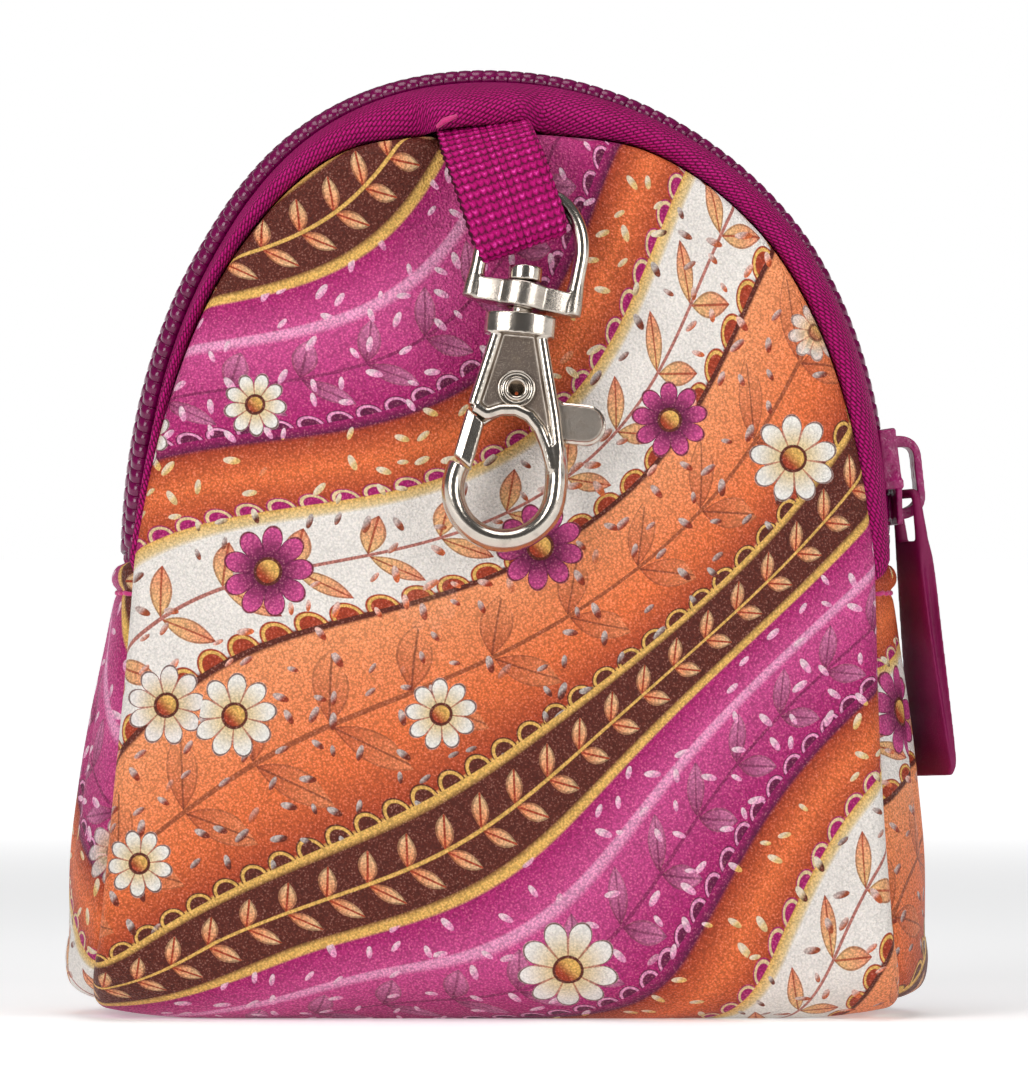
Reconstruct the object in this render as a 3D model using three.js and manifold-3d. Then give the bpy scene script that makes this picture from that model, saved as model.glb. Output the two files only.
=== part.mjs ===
// Coin pouch: a dome-shaped zip pouch of padded leatherette that stands on its base. A webbing loop
// sewn into the top seam carries a swivel ring and a snap hook.
// Millimetres, +Z up. The front faces -Y and the base rests on z = 0.

import * as THREE from "three";
import { mergeVertices } from "three/addons/utils/BufferGeometryUtils.js";
import Module from "manifold-3d";

const wasm = await Module();
wasm.setup();

const { clamp, degToRad, radToDeg } = THREE.MathUtils;

// Sheet materials and the clearance between neighbouring pieces.
const WALL = 1.8;
const TAPE = 1.0;
const WEB = 1.0;
const GAP = 0.3;
const SEAM_GAP = 0.45;

// Metal cast together runs this far into its neighbour, and a cut this far past a face.
const JOIN = 0.5;
const OVERRUN = 1;
const ROUND_SIDES = 20;

// The dome: a superellipse arch over straight sides, and the rounded fold along the base.
const ARCH_BASE = 51.6;
const ARCH_HALF = 43.9;
const ARCH_RISE = 55.6;
const ARCH_POWER = 2.15;
const FOLD_RADIUS = 9;
const SEAM_LIP = 0.8;
const LIP_WIDTH = 1.5;
const CORNER_ANGLE = degToRad(52);
const PUFF_POWER = 2.4;
const TOP_POWER = 4;
const BULGE_POWER = 2.2;

// Depth of the panel faces from the mid-plane, down their middle and along their seams.
const PANEL_DEPTH = [
  { height: 9, middle: 18.4, seam: 16.6 },
  { height: 22, middle: 19.2, seam: 14.8 },
  { height: 37, middle: 18.4, seam: 12.2 },
  { height: 52, middle: 16.6, seam: 10.1 },
  { height: 70, middle: 14.2, seam: 9.3 },
  { height: 86, middle: 11.9, seam: 9.1 },
  { height: 101, middle: 9.6, seam: 9.3 },
];

// Where the panel's grid lines lie: across from seam to seam, and up from the base fold to the top.
const SEAM_HEIGHTS = [9, 16, 23, 30, 37, 44];
const SEAM_STEPS = 8;
const TOP_STEPS = 16;
const COLUMN_SHARES = [-0.84, -0.68, -0.5, -0.3, -0.1, 0.1, 0.3, 0.5, 0.68, 0.84];
const ROW_SHARES = [0.93, 0.85, 0.76, 0.66, 0.55, 0.44, 0.33, 0.22, 0.11, 0];
const FOLD_TURNS = [22.5, 45, 67.5, 90].map(degToRad);

// Half width of the front and back panels at their side seams, below the arch.
const PANEL_HALF = [
  { height: 0, half: 45 },
  { height: 9, half: 44.2 },
  { height: 22, half: 43 },
  { height: 37, half: 41.8 },
  { height: 51.6, half: 41.2 },
];

// The soft dome leans: sideways shift of everything at a height.
const LEAN = [
  { height: 0, shift: 0 },
  { height: 25, shift: 0.2 },
  { height: 50, shift: 0.9 },
  { height: 70, shift: 1.2 },
  { height: 87, shift: 1.1 },
  { height: 94, shift: 0.5 },
  { height: 101, shift: -0.5 },
  { height: 108, shift: -1.6 },
];

// The front and back folds don't touch the floor everywhere: lift of the fold along the width.
const FOLD_LIFT = [
  { across: -45, lift: 1.6 },
  { across: -28, lift: 0 },
  { across: -12, lift: 1.2 },
  { across: 0, lift: 0.8 },
  { across: 30, lift: 0.3 },
  { across: 45, lift: 1.4 },
];

// Side gussets: how far each row bulges past the seam. The top five rows are the rolled hem.
const GUSSET_ROWS = [
  { height: 51.3, bulge: 1.6 },
  { height: 50.8, bulge: 2.6 },
  { height: 49.6, bulge: 3.1 },
  { height: 48.6, bulge: 2.8 },
  { height: 48.0, bulge: 2.2 },
  { height: 47.2, bulge: 2.6 },
  { height: 42, bulge: 3.3 },
  { height: 34, bulge: 4.3 },
  { height: 26, bulge: 4.9 },
  { height: 18, bulge: 5.1 },
  { height: 9, bulge: 4.2 },
];
const GUSSET_FOLD_BULGE = [
  { turn: 30, bulge: 3.2 },
  { turn: 60, bulge: 1.7 },
  { turn: 90, bulge: 0 },
];

const GUSSET_COLUMNS = [-1, -0.93, -0.72, -0.4, 0, 0.4, 0.72, 0.93, 1];

// Zip: the coil's section, how far the panel edge lies inside it, and how the chain twists.
const COIL_HALF = 3;
const COIL_THICK = 2.2;
const COIL_ROUND = 0.7;
const ZIP_STEPS = 36;
const ZIP_ROLL = degToRad(10.5);
const ZIP_SHIFT = 1.0;
const TAPE_DROP = 1.6;
const TUCK_RUN = 1.4;
const TAPE_ROLL = { coil: 2.2, seam: 1.5, rise: 0.5, columns: 6 };
const ZIP_INSET = [
  { angle: 0, inset: 2.7 },
  { angle: 20, inset: 4.2 },
  { angle: 45, inset: 4.7 },
  { angle: 65, inset: 5.2 },
  { angle: 90, inset: 6.9 },
];

// The slot between panel and tape at the top, where the webbing is sewn in.
const SLOT = { centre: -1.7, reach: 6.8, power: 6, panelDip: 2.75, tapeRise: 1.5 };

// Zip slider: height of its middle, plates, flanges, post and bail.
const SLIDER = {
  height: 61, length: 11, wide: 4.6, narrow: 3.9, tail: 2.85, shoulder: -0.5, plate: 0.8, edge: 0.35,
  flange: 1.0, flangeFoot: -1.15, flangeLow: -0.9, flangeSink: 0.2, flangeEnd: 0.4,
  under: -3.2, underThick: 1.0, underWidth: 0.67, underLength: 0.9,
  postHalf: 0.8, postLow: -4.6, postHigh: -2.2,
  bailHalf: 1.3, bailThick: 0.9, bailRoom: 1.6, bailLow: -4.4, bailHigh: 4.6, bailBend: 2.2,
  bailCorner: 1.4, bailRound: 0.6, bailSteps: 4,
};

// Zip pull: a crossbar in the bail, two legs round an eye, and a flared tab that swells and thins.
const PULL = {
  bar: 1.0, barDrop: -1.6, lean: degToRad(-1.5), eyeHalf: 1.9, eyeEnd: -5.4, legHalf: 3.3,
  legEnd: -6, shoulder: 0.8, shoulderEnd: -0.4, endHalf: 5.6, length: 32, corner: 1.4,
  bulge: 2.1, bulgeEnd: -8.5, bulgeBend: 1.9, bulgeRise: -4.25, taperBend: -16.5, scoop: 1.0,
};

// Clasp: the plane of ring and hook slopes with the front panel; each piece leans in that plane.
const CLASP = {
  swivel: new THREE.Vector3(3, -17.2, 81), slope: degToRad(8.2),
  hookLean: degToRad(-5.5), ringLean: degToRad(-11), strapLean: degToRad(18.5),
};
const RING = {
  half: 6, straight: 5, height: 12.2, wire: 1.7, wireSides: 6, steps: 36,
  barHalf: 1.3, barThick: 2.2, barEdge: 0.4, boss: 2.5, bore: 1.5,
};
const RING_TURNS = [150, 120, 90, 60, 30].map(degToRad);
const STUD = { neck: 1.15, headRadius: 1.9, headFoot: 1.75, headTop: 3.4 };
const HOOK = {
  collarTop: -2.1, collarFoot: -4.5, collarHalf: 3.7, collarThick: 4.4, collarEdge: 0.5, shoulder: 2.9,
  hip: 5.3, hipHeight: -13, hipBend: -18.4, thick: 3.6, edge: 0.5, eye: -21.9, outer: 6.95, inner: 4.45,
  tipOuter: degToRad(153.4), tipInner: degToRad(159.2), armInner: degToRad(365), recess: 0.5,
  pocketFront: 0.5,
};

// Inner edge of the hook, from its arm over the eye to the seat of the gate: each bend and its end.
const HOOK_EYE = [
  { bendAcross: 4.15, bendAlong: -17.3, across: 3.25, along: -15.8 },
  { bendAcross: 1.85, bendAlong: -13.6, across: 0.4, along: -13.6 },
  { bendAcross: -1.5, bendAlong: -13.6, across: -2.8, along: -14.5 },
];
const GATE_SEAT = { across: -4.75, along: -12.95 };

// The hook's sunk face, and the pocket behind it in which the lever turns.
const HOOK_FACE = [
  { across: -1.9, along: -5.4 },
  { across: -3.5, along: -11.7 },
  { across: -2.4, along: -12.9 },
  { across: 1.4, along: -12.9 },
  { across: 4.4, along: -15.4 },
  { across: 1.9, along: -5.4 },
];
const HOOK_POCKET = [
  { across: -2, along: -6.8 },
  { across: -4, along: -12.6 },
  { across: -4.6, along: -16.6 },
  { across: 12, along: -16.6 },
  { across: 12, along: -6.8 },
];

// The lever's pivot and rivet, then the lever: hub, thumb lug, arm and gate.
const PIVOT = new THREE.Vector2(0.3, -10.6);
const RIVET = { hole: 0.7, shank: 0.95, bore: 1.25, flange: 1.85, flangeThick: 0.5, flare: 0.2, play: 0.2 };
const LEVER = {
  back: -1.5, front: 0.2, hub: 2.3, edge: 0.3, gateHalf: 1.6, gateEdge: 0.5,
  lugEnd: 8.3, lugNeck: 5.6, lugHeight: -13.7, lugRadius: 2.3,
};
const LUG_ROOT = [
  { across: 1.6, along: -8.8 },
  { across: 1.2, along: -12.8 },
];
const LEVER_ARM = [
  { across: -1.5, along: -11 },
  { across: -3.9, along: -13.7 },
  { across: -3.2, along: -15 },
  { across: -0.2, along: -12.7 },
  { across: 0.3, along: -10.6 },
];
const LEVER_GATE = [
  { across: -4.97, along: -13.24 },
  { across: -6, along: -18.5 },
  { across: -3.92, along: -20.02 },
  { across: -2.95, along: -14.86 },
];

// Strap rows from the seam down to the fold: distance up the strap from the fold, offset out of the
// clasp plane, angle of the width, and half the spacing of the two layers' outer faces.
const STRAP = { half: 4.8, origin: new THREE.Vector2(0.25, 5.9), foldSteps: 6, columns: 4 };
const STRAP_ROWS = [
  { up: 15.1, out: -7.4, width: 4, spacing: 1.06 },
  { up: 14.9, out: -4.4, width: 6, spacing: 1.06 },
  { up: 14.0, out: -1.8, width: 10, spacing: 1.06 },
  { up: 12.0, out: -0.3, width: 15, spacing: 1.12 },
  { up: 9.6, out: 0, width: 18.5, spacing: 1.6 },
  { up: 6.8, out: 0, width: 18.5, spacing: 2.15 },
  { up: 2.15, out: 0, width: 18.5, spacing: 2.15 },
];

function material(color, roughness, metalness) {
  return new THREE.MeshStandardMaterial({ color, roughness, metalness });
}

const LEATHER = material(0xd2703c, 0.45, 0);
const TAPE_CLOTH = material(0x960f55, 0.85, 0);
const COIL_NYLON = material(0x7a0a48, 0.35, 0);
const WEBBING = material(0xaa006e, 0.9, 0);
const PAINTED = material(0xa01060, 0.35, 0.2);
const NICKEL = material(0xc8c6c2, 0.2, 1);

// Smooth curve through one column of a table.
function smooth(table, key, column, value) {
  const last = table.length - 1;
  const place = clamp(value, table[0][key], table[last][key]);
  const upper = Math.max(1, table.findIndex((row) => row[key] >= place));
  const slope = (row) => {
    const before = table[Math.max(row - 1, 0)];
    const after = table[Math.min(row + 1, last)];
    return (after[column] - before[column]) / (after[key] - before[key]);
  };
  const low = table[upper - 1];
  const high = table[upper];
  const span = high[key] - low[key];
  const t = (place - low[key]) / span;
  const rise = (high[column] - low[column]) * t * t * (3 - 2 * t);
  const bend = span * t * (1 - t) * (slope(upper - 1) * (1 - t) - slope(upper) * t);
  return low[column] + rise + bend;
}

const lean = (height) => smooth(LEAN, "height", "shift", height);
const seamDepth = (height) => smooth(PANEL_DEPTH, "height", "seam", height);
const middleDepth = (height) => smooth(PANEL_DEPTH, "height", "middle", height);
const panelHalf = (height) => smooth(PANEL_HALF, "height", "half", height);
const slotShare = (x) => Math.exp(-(((x - SLOT.centre) / SLOT.reach) ** SLOT.power));

// A closed thick sheet: a grid of outer points and a copy of it set in by the wall.
function sheet(outer, wall) {
  const rows = outer.length;
  const columns = outer[0].length;
  const last = columns - 1;
  const at = (i, j) => outer[clamp(i, 0, rows - 1)][clamp(j, 0, last)];
  const points = [];
  for (const side of [0, wall]) {
    for (let i = 0; i < rows; i += 1) {
      for (let j = 0; j < columns; j += 1) {
        const along = at(i + 1, j).clone().sub(at(i - 1, j));
        const across = at(i, j + 1).clone().sub(at(i, j - 1));
        const normal = along.cross(across).normalize();
        points.push(at(i, j).clone().addScaledVector(normal, -side));
      }
    }
  }
  const index = [];
  const quad = (a, b, c, d) => index.push(a, b, c, a, c, d);
  const id = (side, i, j) => side * rows * columns + i * columns + j;
  for (let i = 0; i < rows - 1; i += 1) {
    for (let j = 0; j < columns - 1; j += 1) {
      quad(id(0, i, j), id(0, i + 1, j), id(0, i + 1, j + 1), id(0, i, j + 1));
      quad(id(1, i, j), id(1, i, j + 1), id(1, i + 1, j + 1), id(1, i + 1, j));
    }
  }
  for (let i = 0; i < rows - 1; i += 1) {
    quad(id(0, i, 0), id(1, i, 0), id(1, i + 1, 0), id(0, i + 1, 0));
    quad(id(0, i + 1, last), id(1, i + 1, last), id(1, i, last), id(0, i, last));
  }
  for (let j = 0; j < columns - 1; j += 1) {
    quad(id(0, 0, j + 1), id(1, 0, j + 1), id(1, 0, j), id(0, 0, j));
    quad(id(0, rows - 1, j), id(1, rows - 1, j), id(1, rows - 1, j + 1), id(0, rows - 1, j + 1));
  }
  return new THREE.BufferGeometry().setFromPoints(points).setIndex(index);
}

// A closed bar through rings of points, capped at both ends.
function bar(rings) {
  const count = rings[0].length;
  const index = [];
  for (let i = 0; i < rings.length - 1; i += 1) {
    for (let j = 0; j < count; j += 1) {
      const next = (j + 1) % count;
      index.push(i * count + j, i * count + next, (i + 1) * count + next);
      index.push(i * count + j, (i + 1) * count + next, (i + 1) * count + j);
    }
  }
  const end = (rings.length - 1) * count;
  for (let j = 1; j < count - 1; j += 1) {
    index.push(0, j + 1, j);
    index.push(end, end + j, end + j + 1);
  }
  return new THREE.BufferGeometry().setFromPoints(rings.flat()).setIndex(index);
}

// A flat outline given thickness, with its edges rounded if asked.
function plate(shape, back, front, round = 0, curveSegments = 6) {
  const geometry = new THREE.ExtrudeGeometry(shape, {
    depth: front - back - 2 * round,
    bevelEnabled: round > 0,
    bevelThickness: round,
    bevelSize: round,
    bevelOffset: -round,
    bevelSegments: 2,
    curveSegments,
  });
  return geometry.translate(0, 0, back + round);
}

const vec = (x, y, z) => new THREE.Vector3(x, y, z);

function outline(points) {
  return new THREE.Shape(points.map(({ across, along }) => new THREE.Vector2(across, along)));
}

function rectangle(half, low, high) {
  return outline([
    { across: -half, along: low },
    { across: half, along: low },
    { across: half, along: high },
    { across: -half, along: high },
  ]);
}

// Booleans: a geometry as a closed solid, and a solid as a geometry.
function solid(geometry) {
  const bare = geometry.clone();
  bare.deleteAttribute("normal");
  bare.deleteAttribute("uv");
  const merged = mergeVertices(bare, 1e-4);
  return new wasm.Manifold(new wasm.Mesh({
    numProp: 3,
    vertProperties: merged.getAttribute("position").array,
    triVerts: Uint32Array.from(merged.getIndex().array),
  }));
}

function surface(body) {
  const mesh = body.getMesh();
  const geometry = new THREE.BufferGeometry();
  geometry.setAttribute("position", new THREE.BufferAttribute(Float32Array.from(mesh.vertProperties), 3));
  return geometry.setIndex(new THREE.BufferAttribute(Uint32Array.from(mesh.triVerts), 1));
}

function piece(name, geometry, finish) {
  const mesh = new THREE.Mesh(geometry, finish);
  mesh.name = name;
  return mesh;
}

// The arch of the zip coil, seen from the front: angle 0 is its right end, 90 degrees its top.
function archPoint(angle) {
  const c = Math.cos(angle);
  const power = 2 / ARCH_POWER;
  const x = Math.sign(c) * ARCH_HALF * Math.abs(c) ** power;
  return new THREE.Vector2(x, ARCH_BASE + ARCH_RISE * Math.abs(Math.sin(angle)) ** power);
}

function archNormal(angle) {
  const power = 2 - 2 / ARCH_POWER;
  const c = Math.cos(angle);
  const x = (Math.sign(c) * Math.abs(c) ** power) / ARCH_HALF;
  return new THREE.Vector2(x, Math.abs(Math.sin(angle)) ** power / ARCH_RISE).normalize();
}

function zipInset(angle) {
  const degrees = radToDeg(Math.min(angle, Math.PI - angle));
  return smooth(ZIP_INSET, "angle", "inset", degrees);
}

// Edge of a panel along the arch, in the front view, with the dip that the webbing needs.
function panelEdge(angle, dip) {
  const point = archPoint(angle).addScaledVector(archNormal(angle), -zipInset(angle));
  point.y -= dip * slotShare(point.x);
  return point;
}

// The chain's own axes at a place on the arch: out of the pouch, and across towards the back.
function zipFrame(angle) {
  const point = archPoint(angle);
  const flat = archNormal(angle);
  const roll = ZIP_ROLL * Math.cos(angle);
  return {
    origin: new THREE.Vector3(point.x + lean(point.y), ZIP_SHIFT * Math.cos(angle), point.y),
    out: new THREE.Vector3(flat.x * Math.cos(roll), Math.sin(roll), flat.y * Math.cos(roll)),
    across: new THREE.Vector3(-flat.x * Math.sin(roll), Math.cos(roll), -flat.y * Math.sin(roll)),
  };
}

const zipAngles = Array.from({ length: ZIP_STEPS + 1 }, (unused, step) => (Math.PI * step) / ZIP_STEPS);

// One panel as a four-sided patch in the front view: base line, two side seams and the top of the arch.
function panelPatch(dip) {
  const sidePoints = [];
  for (const height of SEAM_HEIGHTS) {
    sidePoints.push(new THREE.Vector3(panelHalf(height), height, 0));
  }
  for (let step = 0; step <= SEAM_STEPS; step += 1) {
    const point = panelEdge((CORNER_ANGLE * step) / SEAM_STEPS, dip);
    sidePoints.push(new THREE.Vector3(point.x, point.y, 0));
  }
  const topPoints = [];
  for (let step = 0; step <= TOP_STEPS; step += 1) {
    const angle = Math.PI - CORNER_ANGLE - ((Math.PI - 2 * CORNER_ANGLE) * step) / TOP_STEPS;
    const point = panelEdge(angle, dip);
    topPoints.push(new THREE.Vector3(point.x, point.y, 0));
  }
  const side = new THREE.CatmullRomCurve3(sidePoints);
  const top = new THREE.CatmullRomCurve3(topPoints);
  const corner = side.getPointAt(1);
  const foot = side.getPointAt(0);
  return (u, v) => {
    const right = side.getPointAt(v);
    const share = (u + 1) / 2;
    const onTop = top.getPointAt(share);
    const x = u * foot.x * (1 - v) + onTop.x * v + u * right.x - u * (foot.x * (1 - v) + corner.x * v);
    const height = foot.y * (1 - v) + onTop.y * v + right.y - foot.y * (1 - v) - corner.y * v;
    return { x, height, sideLength: side.getLength() };
  };
}

const frontPatch = panelPatch(SLOT.panelDip);
const backPatch = panelPatch(0);
const lipShare = LIP_WIDTH / panelHalf(FOLD_RADIUS);
const panelColumns = [-1, lipShare - 1, ...COLUMN_SHARES, 1 - lipShare, 1];
const panelRows = [1, 1 - LIP_WIDTH / frontPatch(0, 1).sideLength, ...ROW_SHARES];
const isEdge = (u) => Math.abs(u) === 1;
const puff = (u) => 1 - Math.abs(u) ** PUFF_POWER;

function panelPoint(patch, u, v) {
  const { x, height } = patch(u, v);
  const seam = seamDepth(height);
  const depth = seam + (middleDepth(height) - seam) * puff(u) * (1 - v ** TOP_POWER);
  const lip = isEdge(u) || v === 1 ? SEAM_LIP : 0;
  return new THREE.Vector3(x + lean(height), lip - depth, height);
}

// A place on the rounded fold: turn 0 is the foot of the panel, 90 degrees the flat base.
function foldPoint(u, turn) {
  const seam = seamDepth(FOLD_RADIUS);
  const depth = seam + (middleDepth(FOLD_RADIUS) - seam) * puff(u);
  const lip = isEdge(u) ? SEAM_LIP : 0;
  const height = FOLD_RADIUS * (1 - Math.sin(turn));
  const x = u * panelHalf(height);
  const lift = smooth(FOLD_LIFT, "across", "lift", x) * Math.sin(2 * turn);
  const back = depth - FOLD_RADIUS * (1 - Math.cos(turn)) - lip * Math.cos(turn);
  return new THREE.Vector3(x + lean(height), -back, height + lift + lip * Math.sin(turn));
}

// The front, base and back are one length of leatherette, folded under the pouch.
function bodyPanel() {
  const half = (patch) => [
    ...panelRows.map((v) => panelColumns.map((u) => panelPoint(patch, u, v))),
    ...FOLD_TURNS.map((turn) => panelColumns.map((u) => foldPoint(u, turn))),
  ];
  const middle = panelColumns.map((u) => foldPoint(u, Math.PI / 2).setY(0));
  const back = half(backPatch).reverse();
  back.flat().forEach((point) => point.setY(-point.y));
  return piece("body_panel", sheet([...half(frontPatch), middle, ...back], WALL), LEATHER);
}

// A gusset is set inside the panel edges. Each row runs from the front seam to the back seam.
function gusset(name, side) {
  const inset = WALL + GAP;
  const rows = [];
  const addRow = (half, depth, height, bulge) => {
    const row = GUSSET_COLUMNS.map((w) => {
      const x = half + bulge * (1 - Math.abs(w) ** BULGE_POWER);
      return new THREE.Vector3(side * x + lean(height), w * depth, height);
    });
    rows.push(side > 0 ? row : row.reverse());
  };
  for (const { height, bulge } of GUSSET_ROWS) {
    addRow(panelHalf(height), seamDepth(height) - SEAM_LIP - inset, height, bulge);
  }
  for (const { turn, bulge } of GUSSET_FOLD_BULGE) {
    const angle = degToRad(turn);
    const reach = FOLD_RADIUS - SEAM_LIP - inset;
    const depth = seamDepth(FOLD_RADIUS) - FOLD_RADIUS + reach * Math.cos(angle);
    const height = FOLD_RADIUS - reach * Math.sin(angle);
    const lift = smooth(FOLD_LIFT, "across", "lift", side * panelHalf(height)) * Math.sin(2 * angle);
    addRow(panelHalf(height), depth, height + lift, bulge);
  }
  return piece(name, sheet(rows, WALL), LEATHER);
}

// One woven zip tape: from the coil's edge, over a soft roll, down to the panel's seam.
function zipTape(name, side) {
  const rows = zipAngles.map((angle) => {
    const { origin, out, across } = zipFrame(angle);
    const flat = archNormal(angle);
    const inset = zipInset(angle);
    const start = origin.clone().addScaledVector(out, -TAPE_DROP);
    start.addScaledVector(across, side * (COIL_HALF + GAP));
    const edge = archPoint(angle).addScaledVector(flat, SEAM_GAP - inset);
    edge.y += side < 0 ? SLOT.tapeRise * slotShare(edge.x) : 0;
    const tuck = WALL * clamp(1 - (inset - ZIP_INSET[0].inset) / TUCK_RUN, 0, 1);
    const depth = seamDepth(edge.y) - SEAM_LIP - GAP - tuck;
    const end = new THREE.Vector3(edge.x + lean(edge.y), side * depth, edge.y);
    const first = start.clone().addScaledVector(out, -GAP).addScaledVector(across, side * TAPE_ROLL.coil);
    const rise = TAPE_ROLL.rise * (inset - TAPE_DROP);
    const second = end.clone().add(vec(rise * flat.x, side * TAPE_ROLL.seam, rise * flat.y));
    const row = new THREE.CubicBezierCurve3(start, first, second, end).getPoints(TAPE_ROLL.columns);
    return side < 0 ? row : row.reverse();
  });
  return piece(name, sheet(rows, TAPE), TAPE_CLOTH);
}

const sliderAngle = Math.asin(((SLIDER.height - ARCH_BASE) / ARCH_RISE) ** (ARCH_POWER / 2));

// A frame on the zip for the slider: x out of the pouch, y up along the zip, z towards the front.
function sliderGroup() {
  const { origin, out, across } = zipFrame(sliderAngle);
  const front = across.clone().negate();
  const up = front.clone().cross(out);
  const group = new THREE.Group();
  group.position.copy(origin);
  group.setRotationFromMatrix(new THREE.Matrix4().makeBasis(out, up, front));
  group.updateMatrix();
  return group;
}

// A plate lying along the zip: an outline of width against height, raised outwards.
function lidPlate(points, low, high, round) {
  return plate(outline(points), low, high, round).rotateY(Math.PI / 2);
}

function boxAt(low, high) {
  const size = high.clone().sub(low);
  const centre = high.clone().add(low).multiplyScalar(0.5);
  return new THREE.BoxGeometry(size.x, size.y, size.z).translate(centre.x, centre.y, centre.z);
}

function sliderPost(clearance) {
  const low = vec(SLIDER.under - JOIN, SLIDER.postLow - clearance, -SLIDER.postHalf - clearance);
  const high = vec(GAP + JOIN, SLIDER.postHigh + clearance, SLIDER.postHalf + clearance);
  return boxAt(low, high);
}

// The bail in side view: a bow on the slider's face, with room under it for the pull's crossbar.
function sliderBail(face) {
  const { bailThick, bailRoom, bailLow, bailHigh, bailBend, bailCorner, bailRound } = SLIDER;
  const inner = face + bailRoom;
  const top = inner + bailThick;
  const ceiling = bailHigh - bailThick;
  const bail = new THREE.Shape();
  bail.moveTo(face - JOIN, bailLow - bailRound);
  bail.quadraticCurveTo(top, bailLow - bailRound, top, bailLow + bailBend);
  bail.lineTo(top, bailHigh - bailCorner);
  bail.quadraticCurveTo(top, bailHigh, top - bailCorner, bailHigh);
  bail.lineTo(face - JOIN, bailHigh);
  const room = new THREE.Path();
  room.moveTo(face, bailLow + bailRound);
  room.quadraticCurveTo(inner, bailLow + bailRound, inner, bailLow + bailBend);
  room.lineTo(inner, ceiling - bailRound);
  room.lineTo(inner - bailRound, ceiling);
  room.lineTo(face, ceiling);
  bail.holes.push(room);
  return plate(bail, -SLIDER.bailHalf, SLIDER.bailHalf, 0, SLIDER.bailSteps);
}

// The slider: top plate, side flanges over the coil, a post between the plates, and the bail.
function zipSlider() {
  const { wide, narrow, tail, shoulder, flange, under, underWidth, underLength } = SLIDER;
  const half = SLIDER.length / 2;
  const face = GAP + SLIDER.plate;
  const lid = [
    { across: narrow, along: half },
    { across: wide, along: shoulder },
    { across: tail, along: -half },
    { across: -tail, along: -half },
    { across: -wide, along: shoulder },
    { across: -narrow, along: half },
  ];
  const foot = lid.map(({ across, along }) => {
    return { across: across * underWidth, along: along * underLength };
  });
  let body = solid(lidPlate(lid, GAP, face, SLIDER.edge));
  body = body.add(solid(lidPlate(foot, under - SLIDER.underThick, under)));
  body = body.add(solid(sliderPost(0)));
  for (const side of [-1, 1]) {
    const near = side * (COIL_HALF + GAP);
    const far = near + side * flange;
    const low = vec(SLIDER.flangeFoot, SLIDER.flangeLow, Math.min(near, far));
    const high = vec(face - SLIDER.flangeSink, half - SLIDER.flangeEnd, Math.max(near, far));
    body = body.add(solid(boxAt(low, high)));
  }
  body = body.add(solid(sliderBail(face)));
  return piece("zip_slider", surface(body), PAINTED);
}

// The pull in face view: shoulders, legs round the eye, and the tab flaring to its rounded end.
function pullFace() {
  const { eyeHalf, eyeEnd, legHalf, legEnd, shoulder, shoulderEnd, endHalf, length, corner } = PULL;
  const top = PULL.bar / 2;
  const tab = new THREE.Shape();
  tab.moveTo(shoulder - legHalf, top);
  tab.lineTo(-legHalf, shoulderEnd);
  tab.lineTo(-legHalf, legEnd);
  tab.lineTo(-endHalf, corner - length);
  tab.quadraticCurveTo(-endHalf, -length, corner - endHalf, -length);
  tab.lineTo(endHalf - corner, -length);
  tab.quadraticCurveTo(endHalf, -length, endHalf, corner - length);
  tab.lineTo(legHalf, legEnd);
  tab.lineTo(legHalf, shoulderEnd);
  tab.lineTo(legHalf - shoulder, top);
  tab.holes.push(rectangle(eyeHalf, eyeEnd, -top));
  return tab;
}

// The pull in side view: its outer face swells below the eye, its inner face is scooped thin.
function pullSide() {
  const { bar: wire, bulge, bulgeEnd, bulgeBend, bulgeRise, taperBend, scoop, length } = PULL;
  const side = new THREE.Shape();
  side.moveTo(-wire / 2, OVERRUN);
  side.lineTo(-wire / 2, bulgeEnd);
  side.quadraticCurveTo(-wire / 2, taperBend, scoop, -length - OVERRUN);
  side.lineTo(bulge, -length - OVERRUN);
  side.lineTo(bulge, bulgeEnd);
  side.quadraticCurveTo(bulgeBend, bulgeRise, wire / 2, 0);
  side.lineTo(wire / 2, OVERRUN);
  return side;
}

// The pull hangs from its crossbar and lies along the gusset.
function zipPull() {
  const reach = PULL.endHalf + OVERRUN;
  const face = solid(plate(pullFace(), -PULL.bulge, 2 * PULL.bulge).rotateY(Math.PI / 2));
  const body = face.intersect(solid(plate(pullSide(), -reach, reach)));
  return piece("zip_pull", surface(body), PAINTED);
}

// The coil: one rounded band along the arch, opened round the slider's post.
function zipCoil(group) {
  const profile = new THREE.Shape();
  const low = COIL_ROUND - COIL_THICK;
  profile.absarc(-COIL_ROUND, COIL_HALF - COIL_ROUND, COIL_ROUND, 0, Math.PI / 2);
  profile.absarc(low, COIL_HALF - COIL_ROUND, COIL_ROUND, Math.PI / 2, Math.PI);
  profile.absarc(low, COIL_ROUND - COIL_HALF, COIL_ROUND, Math.PI, 1.5 * Math.PI);
  profile.absarc(-COIL_ROUND, COIL_ROUND - COIL_HALF, COIL_ROUND, 1.5 * Math.PI, 2 * Math.PI);
  const section = profile.getPoints(1);
  const rings = zipAngles.map((angle) => {
    const { origin, out, across } = zipFrame(angle);
    return section.map((p) => origin.clone().addScaledVector(out, p.x).addScaledVector(across, p.y));
  });
  const post = sliderPost(GAP).applyMatrix4(group.matrix);
  return piece("zip_coil", surface(solid(bar(rings)).subtract(solid(post))), COIL_NYLON);
}

// A tube along points in the clasp plane.
function wire(points, radius, steps) {
  const path = new THREE.CatmullRomCurve3(points.map(([x, y]) => new THREE.Vector3(x, y, 0)));
  const section = new THREE.Shape().absarc(0, 0, radius, 0, 2 * Math.PI);
  const curveSegments = RING.wireSides;
  return new THREE.ExtrudeGeometry(section, { steps, extrudePath: path, curveSegments, bevelEnabled: false });
}

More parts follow.
